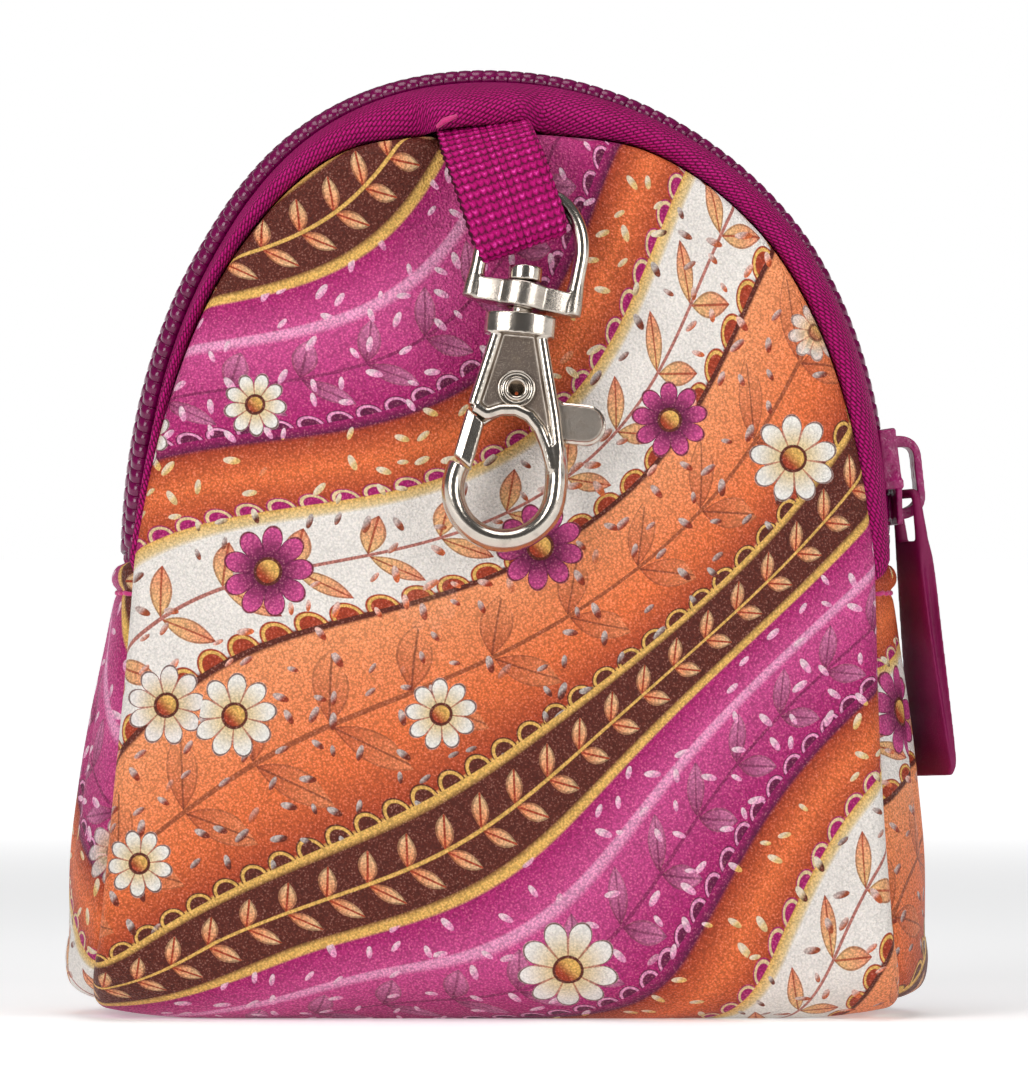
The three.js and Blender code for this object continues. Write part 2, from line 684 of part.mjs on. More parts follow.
function ringWire(radius) {
  const { half, straight, height } = RING;
  const points = [[-half, 0], [-half, straight / 2], [-half, straight]];
  for (const turn of RING_TURNS) {
    points.push([half * Math.cos(turn), straight + (height - straight) * Math.sin(turn)]);
  }
  points.push([half, straight], [half, straight / 2], [half, 0]);
  return wire(points, radius, RING.steps);
}

function roundPost(radius, low, high) {
  const geometry = new THREE.CylinderGeometry(radius, radius, high - low, ROUND_SIDES);
  return geometry.translate(0, (low + high) / 2, 0);
}

// The swivel ring: a wire bow on a flat bar with a round boss, bored for the hook's stud.
function swivelRing() {
  const { half, wire: diameter, barHalf, barThick, barEdge, boss, bore } = RING;
  const foot = rectangle(half + diameter / 2, -barHalf, barHalf);
  let body = solid(plate(foot, -barThick / 2, barThick / 2, barEdge));
  body = body.add(solid(ringWire(diameter / 2)));
  body = body.add(solid(roundPost(boss, -barHalf, barHalf)));
  body = body.subtract(solid(roundPost(bore, -barHalf - OVERRUN, barHalf + OVERRUN)));
  return piece("swivel_ring", surface(body), NICKEL);
}

// Outline of the hook: shoulders, right arm, round eye, tip, and the slanting seat of the gate.
function hookOutline() {
  const { shoulder, collarFoot, hip, hipHeight, hipBend, eye, outer, inner } = HOOK;
  const shape = new THREE.Shape();
  shape.moveTo(-shoulder, collarFoot + JOIN);
  shape.lineTo(shoulder, collarFoot + JOIN);
  shape.lineTo(hip, hipHeight);
  shape.quadraticCurveTo(outer, hipBend, outer, eye);
  shape.absarc(0, eye, outer, 0, HOOK.tipOuter, true);
  shape.absarc(0, eye, inner, HOOK.tipInner, HOOK.armInner, false);
  for (const { bendAcross, bendAlong, across, along } of HOOK_EYE) {
    shape.quadraticCurveTo(bendAcross, bendAlong, across, along);
  }
  shape.lineTo(GATE_SEAT.across, GATE_SEAT.along);
  return shape;
}

// A bore through the clasp plane at the lever's pivot.
function pivotBore(low, high) {
  const bore = roundPost(RIVET.bore, low - OVERRUN, high + OVERRUN).rotateX(Math.PI / 2);
  return solid(bore.translate(PIVOT.x, PIVOT.y, 0));
}

// The hook is one casting: stud and head, collar, tapered body with a sunk face, arm and eye.
function hookBody() {
  const { collarTop, collarFoot, collarHalf, collarThick, collarEdge, thick, recess, pocketFront } = HOOK;
  const front = thick / 2;
  const collar = rectangle(collarHalf, collarFoot, collarTop);
  let body = solid(plate(hookOutline(), -front, front, HOOK.edge));
  body = body.add(solid(plate(collar, -collarThick / 2, collarThick / 2, collarEdge)));
  body = body.add(solid(roundPost(STUD.neck, collarTop - JOIN, STUD.headFoot + JOIN)));
  body = body.add(solid(roundPost(STUD.headRadius, STUD.headFoot, STUD.headTop)));
  body = body.subtract(solid(plate(outline(HOOK_FACE), front - recess, front + OVERRUN)));
  body = body.subtract(solid(plate(outline(HOOK_POCKET), -front - OVERRUN, pocketFront)));
  body = body.subtract(pivotBore(-front, front));
  return piece("hook_body", surface(body), NICKEL);
}

// The lever: hub, thumb lug to the right, and an arm to the gate bar that closes the eye.
function gateLever() {
  const { back, front, hub, edge, gateHalf, gateEdge, lugEnd, lugNeck, lugHeight, lugRadius } = LEVER;
  const centre = roundPost(hub, back, front).rotateX(Math.PI / 2).translate(PIVOT.x, PIVOT.y, 0);
  const lug = outline(LUG_ROOT);
  lug.lineTo(lugNeck, lugHeight - lugRadius);
  lug.absarc(lugEnd, lugHeight, lugRadius, -Math.PI / 2, Math.PI / 2, false);
  lug.lineTo(lugNeck, lugHeight + lugRadius);
  let body = solid(centre);
  body = body.add(solid(plate(lug, back, front, edge)));
  body = body.add(solid(plate(outline(LEVER_ARM), back, front)));
  body = body.add(solid(plate(outline(LEVER_GATE), -gateHalf, gateHalf, gateEdge)));
  body = body.subtract(pivotBore(back, front));
  return piece("gate_lever", surface(body), NICKEL);
}

// A hollow rivet, flared at both ends, pins the lever behind the hook's face.
function hookRivet() {
  const { hole, shank, flange, flangeThick, flare, play } = RIVET;
  const front = HOOK.thick / 2 - HOOK.recess + play;
  const back = LEVER.back - play;
  const profile = [
    { radius: hole, along: back - flangeThick },
    { radius: flange - flare, along: back - flangeThick },
    { radius: flange, along: back },
    { radius: shank, along: back },
    { radius: shank, along: front },
    { radius: flange, along: front },
    { radius: flange - flare, along: front + flangeThick },
    { radius: hole, along: front + flangeThick },
    { radius: hole, along: back - flangeThick },
  ];
  const points = profile.map(({ radius, along }) => new THREE.Vector2(radius, along));
  const geometry = new THREE.LatheGeometry(points, ROUND_SIDES);
  geometry.rotateX(Math.PI / 2).translate(PIVOT.x, PIVOT.y, 0);
  return piece("hook_rivet", surface(solid(geometry)), NICKEL);
}

// The webbing loop: down from the seam, round the ring's bow and back up behind itself.
function strapLoop() {
  const direction = new THREE.Vector2(-Math.sin(CLASP.strapLean), Math.cos(CLASP.strapLean));
  const place = (up, out) => {
    const flat = STRAP.origin.clone().addScaledVector(direction, up);
    return new THREE.Vector3(flat.x, flat.y, out);
  };
  const stations = STRAP_ROWS.map(({ up, out, width, spacing }, row) => {
    const above = STRAP_ROWS[Math.max(row - 1, 0)];
    const below = STRAP_ROWS[Math.min(row + 1, STRAP_ROWS.length - 1)];
    const down = place(below.up, below.out).sub(place(above.up, above.out)).normalize();
    const turn = degToRad(width);
    const across = new THREE.Vector3(Math.cos(turn), Math.sin(turn), 0);
    return { centre: place(up, out), across, normal: down.cross(across).normalize(), spacing };
  });
  const strip = (centre, across) => Array.from({ length: STRAP.columns + 1 }, (unused, column) => {
    const share = (2 * column) / STRAP.columns - 1;
    return centre.clone().addScaledVector(across, share * STRAP.half);
  });
  const face = (station, side) => {
    const centre = station.centre.clone().addScaledVector(station.normal, side * station.spacing);
    return strip(centre, station.across);
  };
  const last = stations[stations.length - 1];
  const fold = [];
  for (let step = 1; step < STRAP.foldSteps; step += 1) {
    const turn = (Math.PI * step) / STRAP.foldSteps;
    const drop = last.spacing * Math.sin(turn);
    const out = last.spacing * Math.cos(turn);
    fold.push(strip(place(last.spacing - drop, out), last.across));
  }
  const rows = stations.map((station) => face(station, 1));
  rows.push(...fold, ...stations.map((station) => face(station, -1)).reverse());
  const room = ringWire(RING.wire / 2 + GAP).rotateZ(CLASP.ringLean);
  return piece("strap_loop", surface(solid(sheet(rows, WEB)).subtract(solid(room))), WEBBING);
}

function turned(angle, ...members) {
  const group = new THREE.Group();
  group.rotation.z = angle;
  group.add(...members);
  return group;
}

const zipGroup = sliderGroup();
const pull = zipPull();
pull.position.set(GAP + SLIDER.plate + SLIDER.bailRoom / 2, PULL.barDrop, 0);
pull.rotation.z = PULL.lean;
zipGroup.add(zipSlider(), pull);

const claspGroup = new THREE.Group();
claspGroup.position.copy(CLASP.swivel);
claspGroup.rotation.x = Math.PI / 2 - CLASP.slope;
claspGroup.add(strapLoop());
claspGroup.add(turned(CLASP.ringLean, swivelRing()));
claspGroup.add(turned(CLASP.hookLean, hookBody(), gateLever(), hookRivet()));

const pouch = new THREE.Group();
pouch.add(bodyPanel(), gusset("gusset_left", -1), gusset("gusset_right", 1));
pouch.add(zipTape("zip_tape_front", -1), zipTape("zip_tape_back", 1), zipCoil(zipGroup));
pouch.add(zipGroup, claspGroup);

export default pouch;
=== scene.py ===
# %% [markdown]
# # A coin pouch
# A small dome-shaped pouch of printed leatherette, with a zip over its top and a snap hook on its
# front. Its solids are made and packed already, and this lesson gives them their looks. Before each
# step a few sentences say what the piece is on the real pouch, how it could be made, and why this
# way was chosen. The steps work in millimetres, and only the finished meshes are in metres.

import bmesh
import bpy
import numpy as np
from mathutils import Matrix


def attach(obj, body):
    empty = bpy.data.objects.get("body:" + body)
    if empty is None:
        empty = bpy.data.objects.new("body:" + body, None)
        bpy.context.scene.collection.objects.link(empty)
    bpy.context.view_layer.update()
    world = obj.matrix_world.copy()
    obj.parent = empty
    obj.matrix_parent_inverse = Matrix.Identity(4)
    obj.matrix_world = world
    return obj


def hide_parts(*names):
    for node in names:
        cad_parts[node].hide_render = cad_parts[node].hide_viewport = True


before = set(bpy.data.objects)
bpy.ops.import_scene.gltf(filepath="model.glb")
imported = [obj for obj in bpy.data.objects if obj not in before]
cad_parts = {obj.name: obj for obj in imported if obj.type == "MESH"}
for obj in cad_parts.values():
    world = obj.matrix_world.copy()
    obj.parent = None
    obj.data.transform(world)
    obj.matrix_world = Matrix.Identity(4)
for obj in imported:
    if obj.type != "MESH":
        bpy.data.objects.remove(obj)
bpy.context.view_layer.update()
MM = 0.001

# %% [markdown]
# ## Camera
# The pouch is seen level and square from the front, from far enough away that its sides hardly
# converge. A long lens at one metre does that, and the frame's height in millimetres sets the focal
# length. A vertical sensor fit keeps the framing right for a picture that is taller than wide.

# %% Camera
CAMERA = {
    "across": 2.0, "height": 53.35, "distance": 1000.0,
    "frame_height": 123.75, "sensor": 24.0, "near": 50.0,
}


def aim_camera():
    data = bpy.data.cameras.new("camera")
    data.sensor_fit = "VERTICAL"
    data.sensor_height = CAMERA["sensor"]
    data.lens = CAMERA["sensor"] * CAMERA["distance"] / CAMERA["frame_height"]
    data.clip_start = CAMERA["near"] * MM
    camera = bpy.data.objects.new("camera", data)
    camera.location = (CAMERA["across"] * MM, -CAMERA["distance"] * MM, CAMERA["height"] * MM)
    camera.rotation_euler = (np.pi / 2, 0, 0)
    bpy.context.collection.objects.link(camera)
    bpy.context.scene.camera = camera
    print(f"camera lens {data.lens:.1f} mm")


aim_camera()

# %% [markdown]
# ## Curves through short tables
# A soft pouch has no straight lines, so its form is kept as short tables of measured sections. A
# spline could be fitted through them, or straight lines drawn. Here one cubic per interval, with the
# slope of its neighbours at both ends, passes through every row and stays close to it.

# %% Tables of the pouch's form
PANEL_DEPTH = {
    "height": (9, 22, 37, 52, 70, 86, 101),
    "middle": (18.4, 19.2, 18.4, 16.6, 14.2, 11.9, 9.6),
    "seam": (16.6, 14.8, 12.2, 10.1, 9.3, 9.1, 9.3),
}
PANEL_HALF = {"height": (0, 9, 22, 37, 51.6), "half": (45.4, 44.5, 43.4, 42.4, 41.7)}
LEAN = {
    "height": (0, 25, 50, 70, 87, 94, 101, 108),
    "shift": (0, 0.2, 0.9, 1.2, 1.1, 0.5, -0.5, -1.6),
}
FOLD_RADIUS = 9.0
FOLD_LIFT = {"across": (-45, -28, -12, 0, 30, 45), "lift": (0.9, 0, 1.2, 0.8, 0.3, 0.9)}


def smooth(table, key, column, value):
    """A cubic through one column of a table, at one value or an array of them."""
    keys = np.array(table[key], float)
    levels = np.array(table[column], float)
    last = len(keys) - 1
    before = np.maximum(np.arange(last + 1) - 1, 0)
    after = np.minimum(np.arange(last + 1) + 1, last)
    slopes = (levels[after] - levels[before]) / (keys[after] - keys[before])
    place = np.clip(value, keys[0], keys[-1])
    high = np.clip(np.searchsorted(keys, place), 1, last)
    low = high - 1
    span = keys[high] - keys[low]
    t = (place - keys[low]) / span
    rise = (levels[high] - levels[low]) * t * t * (3 - 2 * t)
    sway = span * t * (1 - t) * (slopes[low] * (1 - t) - slopes[high] * t)
    return levels[low] + rise + sway


def lean(height):
    return smooth(LEAN, "height", "shift", height)


def panel_half(height):
    return smooth(PANEL_HALF, "height", "half", height)


def seam_depth(height):
    return smooth(PANEL_DEPTH, "height", "seam", height)


print(f"panel half width at mid height: {panel_half(30):.1f} mm")

# %% [markdown]
# ## The arch of the zip
# Seen from the front, the zip follows a superellipse, a little squarer than an ellipse. Every piece
# along it needs a place, the direction out of the pouch and the direction across the zip. The real
# chain is twisted: on the left it rolls to the front and on the right to the back. The front panel
# has a shallow slot in its upper edge, where the webbing comes out from under the tape.

# %% Arch functions
ARCH = {"base": 51.6, "half": 43.9, "rise": 55.6, "power": 2.15, "steps": 721}
ZIP_INSET = {"angle": (0, 5, 20, 45, 65, 78, 90), "inset": (2.2, 2.9, 4.0, 4.6, 5.4, 7.0, 7.7)}
ZIP = {"roll": np.radians(10.5), "shift": 1.0, "tuck": 0.45}
SLOT = {
    "centre": -1.5, "reach": 4.8, "power": 8, "panel_dip": 1.3,
    "tape_rise": 0.75, "tape_tilt": 0.09, "tape_out": 3.4, "tape_reach": 6.1, "tape_power": 8,
}
ARCH_ANGLES = np.linspace(0, np.pi, ARCH["steps"])


def unit(vectors):
    return vectors / np.linalg.norm(vectors, axis=-1, keepdims=True)


def run_lengths(points):
    """Distance of every point of a polyline from its start, measured along it."""
    return np.r_[0, np.cumsum(np.linalg.norm(np.diff(points, axis=0), axis=1))]


def resample(points, count):
    """The same polyline with evenly spaced points."""
    run = run_lengths(points)
    places = np.linspace(0, run[-1], count)
    return np.stack([np.interp(places, run, column) for column in points.T], -1)


def arch_point(angle):
    power = 2 / ARCH["power"]
    x = np.sign(np.cos(angle)) * ARCH["half"] * np.abs(np.cos(angle)) ** power
    height = ARCH["base"] + ARCH["rise"] * np.abs(np.sin(angle)) ** power
    return np.stack([x, height], -1)


def arch_normal(angle):
    power = 2 - 2 / ARCH["power"]
    x = np.sign(np.cos(angle)) * np.abs(np.cos(angle)) ** power / ARCH["half"]
    return unit(np.stack([x, np.abs(np.sin(angle)) ** power / ARCH["rise"]], -1))


def zip_inset(angle):
    """How far the panel's edge lies inside the arch."""
    return smooth(ZIP_INSET, "angle", "inset", np.degrees(np.minimum(angle, np.pi - angle)))


def slot_share(x, reach, power):
    """How far a place across the pouch lies within the slot for the webbing, from 0 to 1."""
    return np.exp(-(((x - SLOT["centre"]) / reach) ** power))


def panel_edge(angle, dip):
    point = arch_point(angle) - zip_inset(angle)[..., None] * arch_normal(angle)
    point[..., 1] -= dip * slot_share(point[..., 0], SLOT["reach"], SLOT["power"])
    return point


def zip_frame(angle):
    """Place on the arch, direction out of the pouch, and direction across towards the back."""
    flat = arch_normal(angle)
    point = arch_point(angle) - ZIP["tuck"] * np.abs(np.cos(angle))[..., None] * flat
    x, height = point[..., 0], point[..., 1]
    roll = ZIP["roll"] * np.cos(angle)
    origin = np.stack([x + lean(height), ZIP["shift"] * np.cos(angle), height], -1)
    out = np.stack([flat[..., 0] * np.cos(roll), np.sin(roll), flat[..., 1] * np.cos(roll)], -1)
    across = np.stack([-flat[..., 0] * np.sin(roll), np.cos(roll), -flat[..., 1] * np.sin(roll)], -1)
    return origin, out, across


ARCH_LENGTH = np.linalg.norm(np.diff(arch_point(ARCH_ANGLES), axis=0), axis=1).sum()
print(f"zip length {ARCH_LENGTH:.1f} mm")

# %% [markdown]
# ## From arrays to meshes
# Blender can build a mesh from operators, one click at a time, or from arrays of points. Arrays suit
# sewn sheets, because a sheet is a grid. A grid gets its map coordinates with its points, so a
# print or a weave can follow the cloth round every bend.

# %% Mesh helpers
def new_object(name, vertices, faces, maps=None):
    """A mesh object from points in millimetres, its faces and, if given, one map point per vertex."""
    mesh = bpy.data.meshes.new(name)
    mesh.from_pydata((np.asarray(vertices, float) * MM).tolist(), [], [list(face) for face in faces])
    if maps is not None:
        layer = mesh.uv_layers.new(name="map")
        corners = np.empty(len(mesh.loops), np.int32)
        mesh.loops.foreach_get("vertex_index", corners)
        layer.data.foreach_set("uv", np.asarray(maps, np.float32)[corners].ravel())
    mesh.shade_smooth()
    item = bpy.data.objects.new(name, mesh)
    bpy.context.collection.objects.link(item)
    return item


def grid_faces(rows, columns, first=0):
    ids = first + np.arange(rows * columns).reshape(rows, columns)
    return np.stack([ids[:-1, :-1], ids[1:, :-1], ids[1:, 1:], ids[:-1, 1:]], -1).reshape(-1, 4)


def apply_modifiers(item):
    """Bakes an object's modifiers into its mesh."""
    view = bpy.context.evaluated_depsgraph_get()
    finished = bpy.data.meshes.new_from_object(item.evaluated_get(view), depsgraph=view)
    item.modifiers.clear()
    item.data = finished
    finished.shade_smooth()
    return item


print("a grid of 3 by 4 points has", len(grid_faces(3, 4)), "faces")

# %% [markdown]
# ## Sewn sheets and seating
# Cloth and leatherette have two sides and a thickness. A modifier gives a grid its second side, which
# is simpler than drawing both. Every finished piece is then seated: it gets its material and the body
# that it rides on, and the solids that it stands for are hidden.

# %% Sheet and seating helpers
WELD = {"doubles": 1e-6, "slivers": 1e-7}


def sewn_sheet(name, grids, wall):
    """Joins grids of points and maps along their shared edges and gives the sheet its thickness."""
    vertices, faces, maps, count = [], [], [], 0
    for points, chart in grids:
        rows, columns = points.shape[:2]
        vertices.append(points.reshape(-1, 3))
        maps.append(chart.reshape(-1, 2) * MM)
        faces.append(grid_faces(rows, columns, count))
        count += rows * columns
    faces = np.concatenate(faces).tolist()
    item = new_object(name, np.concatenate(vertices), faces, np.concatenate(maps))
    shape = bmesh.new()
    shape.from_mesh(item.data)
    bmesh.ops.remove_doubles(shape, verts=shape.verts, dist=WELD["doubles"])
    bmesh.ops.dissolve_degenerate(shape, edges=shape.edges, dist=WELD["slivers"])
    shape.to_mesh(item.data)
    shape.free()
    thick = item.modifiers.new("wall", "SOLIDIFY")
    thick.thickness = wall * MM
    thick.offset = -1
    return apply_modifiers(item)


def report(item):
    faces = sum(len(face.vertices) - 2 for face in item.data.polygons)
    area = sum(face.area for face in item.data.polygons) / MM ** 2
    print(f"{item.name}: {faces} triangles, {area:.0f} square mm of skin")


def seat(item, finish, body, slot, *nodes):
    """Gives a piece its material and its body, and hides the solids that it stands for."""
    item.data.materials.append(finish)
    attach(item, body)
    if nodes:
        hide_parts(*nodes)
    report(item)
    return item


print("sheets are welded at", WELD["doubles"], "m")

# %% [markdown]
# ## Shader maths
# A procedural material is a sum: weave plus fuzz, print under grain. Wiring Math nodes by hand hides
# that sum. This small class wraps a socket, so that an ordinary expression adds the nodes. Any other
# node comes from one method, which sets its settings first and then its sockets.

# %% Shader class
class Plug:
    """A shader socket that works in Python expressions; each operation adds one Math node."""

    def __init__(self, tree, socket):
        self.tree = tree
        self.socket = socket

    def feed(self, target, value):
        if isinstance(value, Plug):
            self.tree.links.new(value.socket, target)
        else:
            target.default_value = value

    def make(self, kind, settings=None, inputs=None, output=0):
        node = self.tree.nodes.new("ShaderNode" + kind)
        for name, value in (settings or {}).items():
            if name == "stops":
                self.fill_ramp(node.color_ramp, value)
            else:
                setattr(node, name, value)
        for key, value in (inputs or {}).items():
            self.feed(node.inputs[key], value)
        return Plug(self.tree, node.outputs[output])

    def fill_ramp(self, ramp, stops):
        while len(ramp.elements) < len(stops):
            ramp.elements.new(1.0)
        for element, (place, colour) in zip(ramp.elements, stops):
            element.position = place
            element.color = (*colour, 1)

    def sibling(self, output):
        return Plug(self.tree, self.socket.node.outputs[output])

    def math(self, operation, *values):
        return self.make("Math", {"operation": operation}, dict(enumerate(values)))

    def __add__(self, other):
        return self.math("ADD", self, other)

    def __sub__(self, other):
        return self.math("SUBTRACT", self, other)

    def __rsub__(self, other):
        return self.math("SUBTRACT", other, self)

    def __mul__(self, other):
        return self.math("MULTIPLY", self, other)

    def __truediv__(self, other):
        return self.math("DIVIDE", self, other)

    def __mod__(self, other):
        return self.math("FLOORED_MODULO", self, other)

    def __pow__(self, other):
        return self.math("POWER", self, other)

    def __abs__(self):
        return self.math("ABSOLUTE", self)

    __radd__ = __add__
    __rmul__ = __mul__

    def sin(self):
        return self.math("SINE", self)

    def ramp(self, low, high):
        """A soft step: 0 at low and 1 at high, in either order."""
        settings = {"interpolation_type": "SMOOTHSTEP"}
        return self.make("MapRange", settings, {"Value": self, "From Min": low, "From Max": high})

    def mix(self, first, second):
        """Colours first and second, mixed by this value."""
        return self.make("Mix", {"data_type": "RGBA"}, {0: self, 6: first, 7: second}, 2)

    def scaled(self, factor):
        return self.make("VectorMath", {"operation": "SCALE"}, {0: self, "Scale": factor})

    def minus(self, other):
        return self.make("VectorMath", {"operation": "SUBTRACT"}, {0: self, 1: other})

    def parts(self):
        split = self.make("SeparateXYZ", None, {0: self})
        return split, split.sibling(1), split.sibling(2)


print("operators ready:", [name for name in ("add", "mul", "pow", "abs") if hasattr(Plug, f"__{name}__")])

# %% [markdown]
# ## Starting and finishing a material
# Every material here begins and ends alike, so two helpers do it. The first clears the tree and
# returns a plug of the object's own coordinates. The second sets what stays the same, links what
# varies, and turns a height into a normal. Colours are written as on a screen, from 0 to 255.

# %% Material helpers
SCREEN = {"knee": 0.04045, "slope": 12.92, "offset": 0.055, "power": 2.4}


def ink(red, green, blue):
    """A screen colour as the linear colour that a shader takes."""
    share = np.array([red, green, blue]) / 255
    curve = ((share + SCREEN["offset"]) / (1 + SCREEN["offset"])) ** SCREEN["power"]
    linear = np.where(share <= SCREEN["knee"], share / SCREEN["slope"], curve)
    return tuple(float(level) for level in linear)


def paint(*colour):
    return (*ink(*colour), 1)


def start_material(name):
    """A new material, its shader node, and a plug to start expressions from."""
    material = bpy.data.materials.new(name)
    material.use_nodes = True
    tree = material.node_tree
    tree.nodes.clear()
    shader = tree.nodes.new("ShaderNodeBsdfPrincipled")
    output = tree.nodes.new("ShaderNodeOutputMaterial")
    tree.links.new(shader.outputs[0], output.inputs[0])
    place = tree.nodes.new("ShaderNodeTexCoord")
    return material, shader, Plug(tree, place.outputs["Object"])


def finish_material(plug, shader, fixed, varying, height=None, relief=0.0):
    """Sets constant sockets, links what varies, and turns a height in millimetres into a normal."""
    for name, value in fixed.items():
        shader.inputs[name].default_value = value
    for name, value in varying.items():
        plug.feed(shader.inputs[name], value)
    if height is not None:
        bump = plug.make("Bump", None, {"Strength": 1.0, "Distance": relief * MM, "Height": height})
        plug.feed(shader.inputs["Normal"], bump)


def in_millimetres(place):
    return place.scaled(1 / MM)


def map_place(place):
    """The sheet's own map coordinates, in millimetres."""
    return in_millimetres(place.make("UVMap", {"uv_map": "map"}))


def noise(place, size, detail=2.0):
    """Cloudy values from 0 to 1, with clouds about as wide as size."""
    return place.make("TexNoise", None, {"Vector": place, "Scale": 1 / size, "Detail": detail})


print("middle grey as a linear level:", round(ink(128, 128, 128)[0], 3))

# %% [markdown]
# ## The print's ribbons
# The leatherette carries a lively print in orange, rust, magenta, cream and umber. An image could
# carry it, but expressions stay sharp at any size. The design is a plain meadow on slanting ribbons
# of colour. How far a place lies across the ribbons picks its ink from a list of stops.

# %% Print colours and ribbons
INKS = {
    "plum": (102, 8, 64), "magenta": (168, 14, 102), "rose": (202, 72, 138), "pink": (230, 150, 190),
    "gold": (226, 178, 92), "umber": (92, 32, 18), "rust": (164, 56, 26), "orange": (228, 112, 58),
    "apricot": (240, 150, 98), "cream": (238, 231, 224), "sand": (226, 200, 150), "white": (240, 236, 230),
}
RIBBON_REPEAT = 68.0
RIBBONS = (
    (0.0, "plum"), (1.4, "magenta"), (12.0, "rose"), (12.6, "pink"), (13.3, "pink"), (13.5, "rose"),
    (17.6, "magenta"), (17.8, "gold"), (18.5, "gold"), (18.7, "umber"), (26.2, "umber"), (26.4, "gold"),
    (27.1, "gold"), (27.3, "rust"), (33.0, "orange"), (44.6, "apricot"), (44.8, "umber"),
    (45.5, "umber"), (45.7, "cream"), (57.4, "cream"), (57.8, "sand"), (59.0, "gold"), (59.2, "rust"),
    (63.5, "orange"), (67.6, "rust"), (68.0, "plum"),
)
SLANT = {"ahead": 0.80, "aside": 0.60}
WAVES = (
    {"across": 0.062, "up": 0.018, "start": 0.5, "height": 6.0},
    {"across": 0.035, "up": 0.09, "start": 1.3, "height": 2.6},
)


def printed(name):
    return paint(*INKS[name])


def ramp_stops(stops):
    """Places from 0 to 1 and linear colours, from pairs of a place and the name of an ink."""
    return [(place, ink(*INKS[name])) for place, name in stops]


def ribbon_place(x, up):
    """How far across the slanting ribbons a place lies, in millimetres within one repeat."""
    place = up * SLANT["ahead"] - x * SLANT["aside"]
    for wave in WAVES:
        place = place + (x * wave["across"] + up * wave["up"] + wave["start"]).sin() * wave["height"]
    return (place + 2 * RIBBON_REPEAT) % RIBBON_REPEAT


def print_ribbons(ribbon):
    stops = ramp_stops((start / RIBBON_REPEAT, name) for start, name in RIBBONS)
    return ribbon.make("ValToRGB", {"stops": stops}, {0: ribbon / RIBBON_REPEAT})


print(len(RIBBONS), "stops of", len(INKS), "inks in a repeat of", RIBBON_REPEAT, "mm")

# %% [markdown]
# ## Leaf vines and scallops
# A vine runs down the middle of four ribbons, and a border of half rounds sits on four edges. Both
# repeat along the ribbon, so the remainder of the distance along it gives a place in one repeat,
# and a leaf is a lens drawn in that place. Drawing each leaf apart would take hundreds of shapes.

# %% Vines and scallops
VINES = (
    {"middle": 22.4, "half": 3.6, "pitch": 4.6, "reach": 1.9, "length": 1.75, "width": 0.85, "stem": 0.17,
     "root": "orange", "tip": "sand", "vein": "rust", "line": "gold", "strength": 1.0},
    {"middle": 36.2, "half": 8.0, "pitch": 9.4, "reach": 4.3, "length": 4.0, "width": 1.7, "stem": 0.24,
     "root": "rust", "tip": "apricot", "vein": "umber", "line": "umber", "strength": 0.62},
    {"middle": 7.2, "half": 5.4, "pitch": 7.0, "reach": 2.9, "length": 2.7, "width": 1.15, "stem": 0.2,
     "root": "plum", "tip": "pink", "vein": "plum", "line": "plum", "strength": 0.6},
    {"middle": 51.8, "half": 5.6, "pitch": 7.6, "reach": 3.0, "length": 2.8, "width": 1.15, "stem": 0.2,
     "root": "gold", "tip": "orange", "vein": "rust", "line": "rust", "strength": 0.85},
)
LEAF = {"ahead": 0.62, "aside": 0.78, "soft": 0.06, "clip": 0.1, "rim": (0.26, 0.12), "rim_ink": 0.6,
        "vein": (0.16, 0.06)}
SCALLOPS = (
    {"start": 45.4, "size": 1.9, "fill": "rust", "line": "gold"},
    {"start": 1.2, "size": 1.5, "fill": "plum", "line": "pink"},
    {"start": 27.0, "size": 1.7, "fill": "umber", "line": "gold"},
    {"start": 59.1, "size": 1.6, "fill": "magenta", "line": "sand"},
)
SCALLOP = {"outer": 0.94, "inner": 0.88, "foot": 0.05, "line": 0.72, "line_edge": (0.22, 0.1)}


def print_vine(colour, along, ribbon, vine):
    """A stem with pairs of veined leaves down the middle of a ribbon."""
    side = ribbon - vine["middle"]
    step = along % vine["pitch"] - vine["pitch"] / 2
    reach = step * LEAF["ahead"] + abs(side) * LEAF["aside"]
    beside = abs(step * LEAF["aside"] - abs(side) * LEAF["ahead"])
    lens = (1 - ((reach - vine["reach"]) / vine["length"]) ** 2) * vine["width"] - beside
    inside = abs(side).ramp(vine["half"] + LEAF["clip"], vine["half"] - LEAF["clip"])
    leaf = lens.ramp(-LEAF["soft"], LEAF["soft"]) * inside
    edge = lens.ramp(*LEAF["rim"]) * leaf
    vein = beside.ramp(*LEAF["vein"]) * leaf
    stem = abs(side).ramp(vine["stem"] + LEAF["soft"], vine["stem"] - LEAF["soft"])
    blade = (reach / (2 * vine["reach"])).mix(printed(vine["root"]), printed(vine["tip"]))
    colour = (leaf * vine["strength"]).mix(colour, blade)
    colour = (edge * LEAF["rim_ink"] * vine["strength"]).mix(colour, printed("umber"))
    colour = (vein * vine["strength"]).mix(colour, printed(vine["vein"]))
    return (stem * vine["strength"]).mix(colour, printed(vine["line"]))


def print_scallops(colour, along, ribbon, scallop):
    """A border of half rounds with a drawn edge."""
    size = scallop["size"]
    step = along % (2 * size) - size
    away = ribbon - scallop["start"]
    radius = (step * step + away * away) ** 0.5
    inside = radius.ramp(size * SCALLOP["outer"], size * SCALLOP["inner"])
    inside = inside * away.ramp(-SCALLOP["foot"], SCALLOP["foot"])
    line = abs(radius - size * SCALLOP["line"]).ramp(*SCALLOP["line_edge"]) * inside
    colour = inside.mix(colour, printed(scallop["fill"]))
    return line.mix(colour, printed(scallop["line"]))


print(len(VINES), "vines and", len(SCALLOPS), "borders")

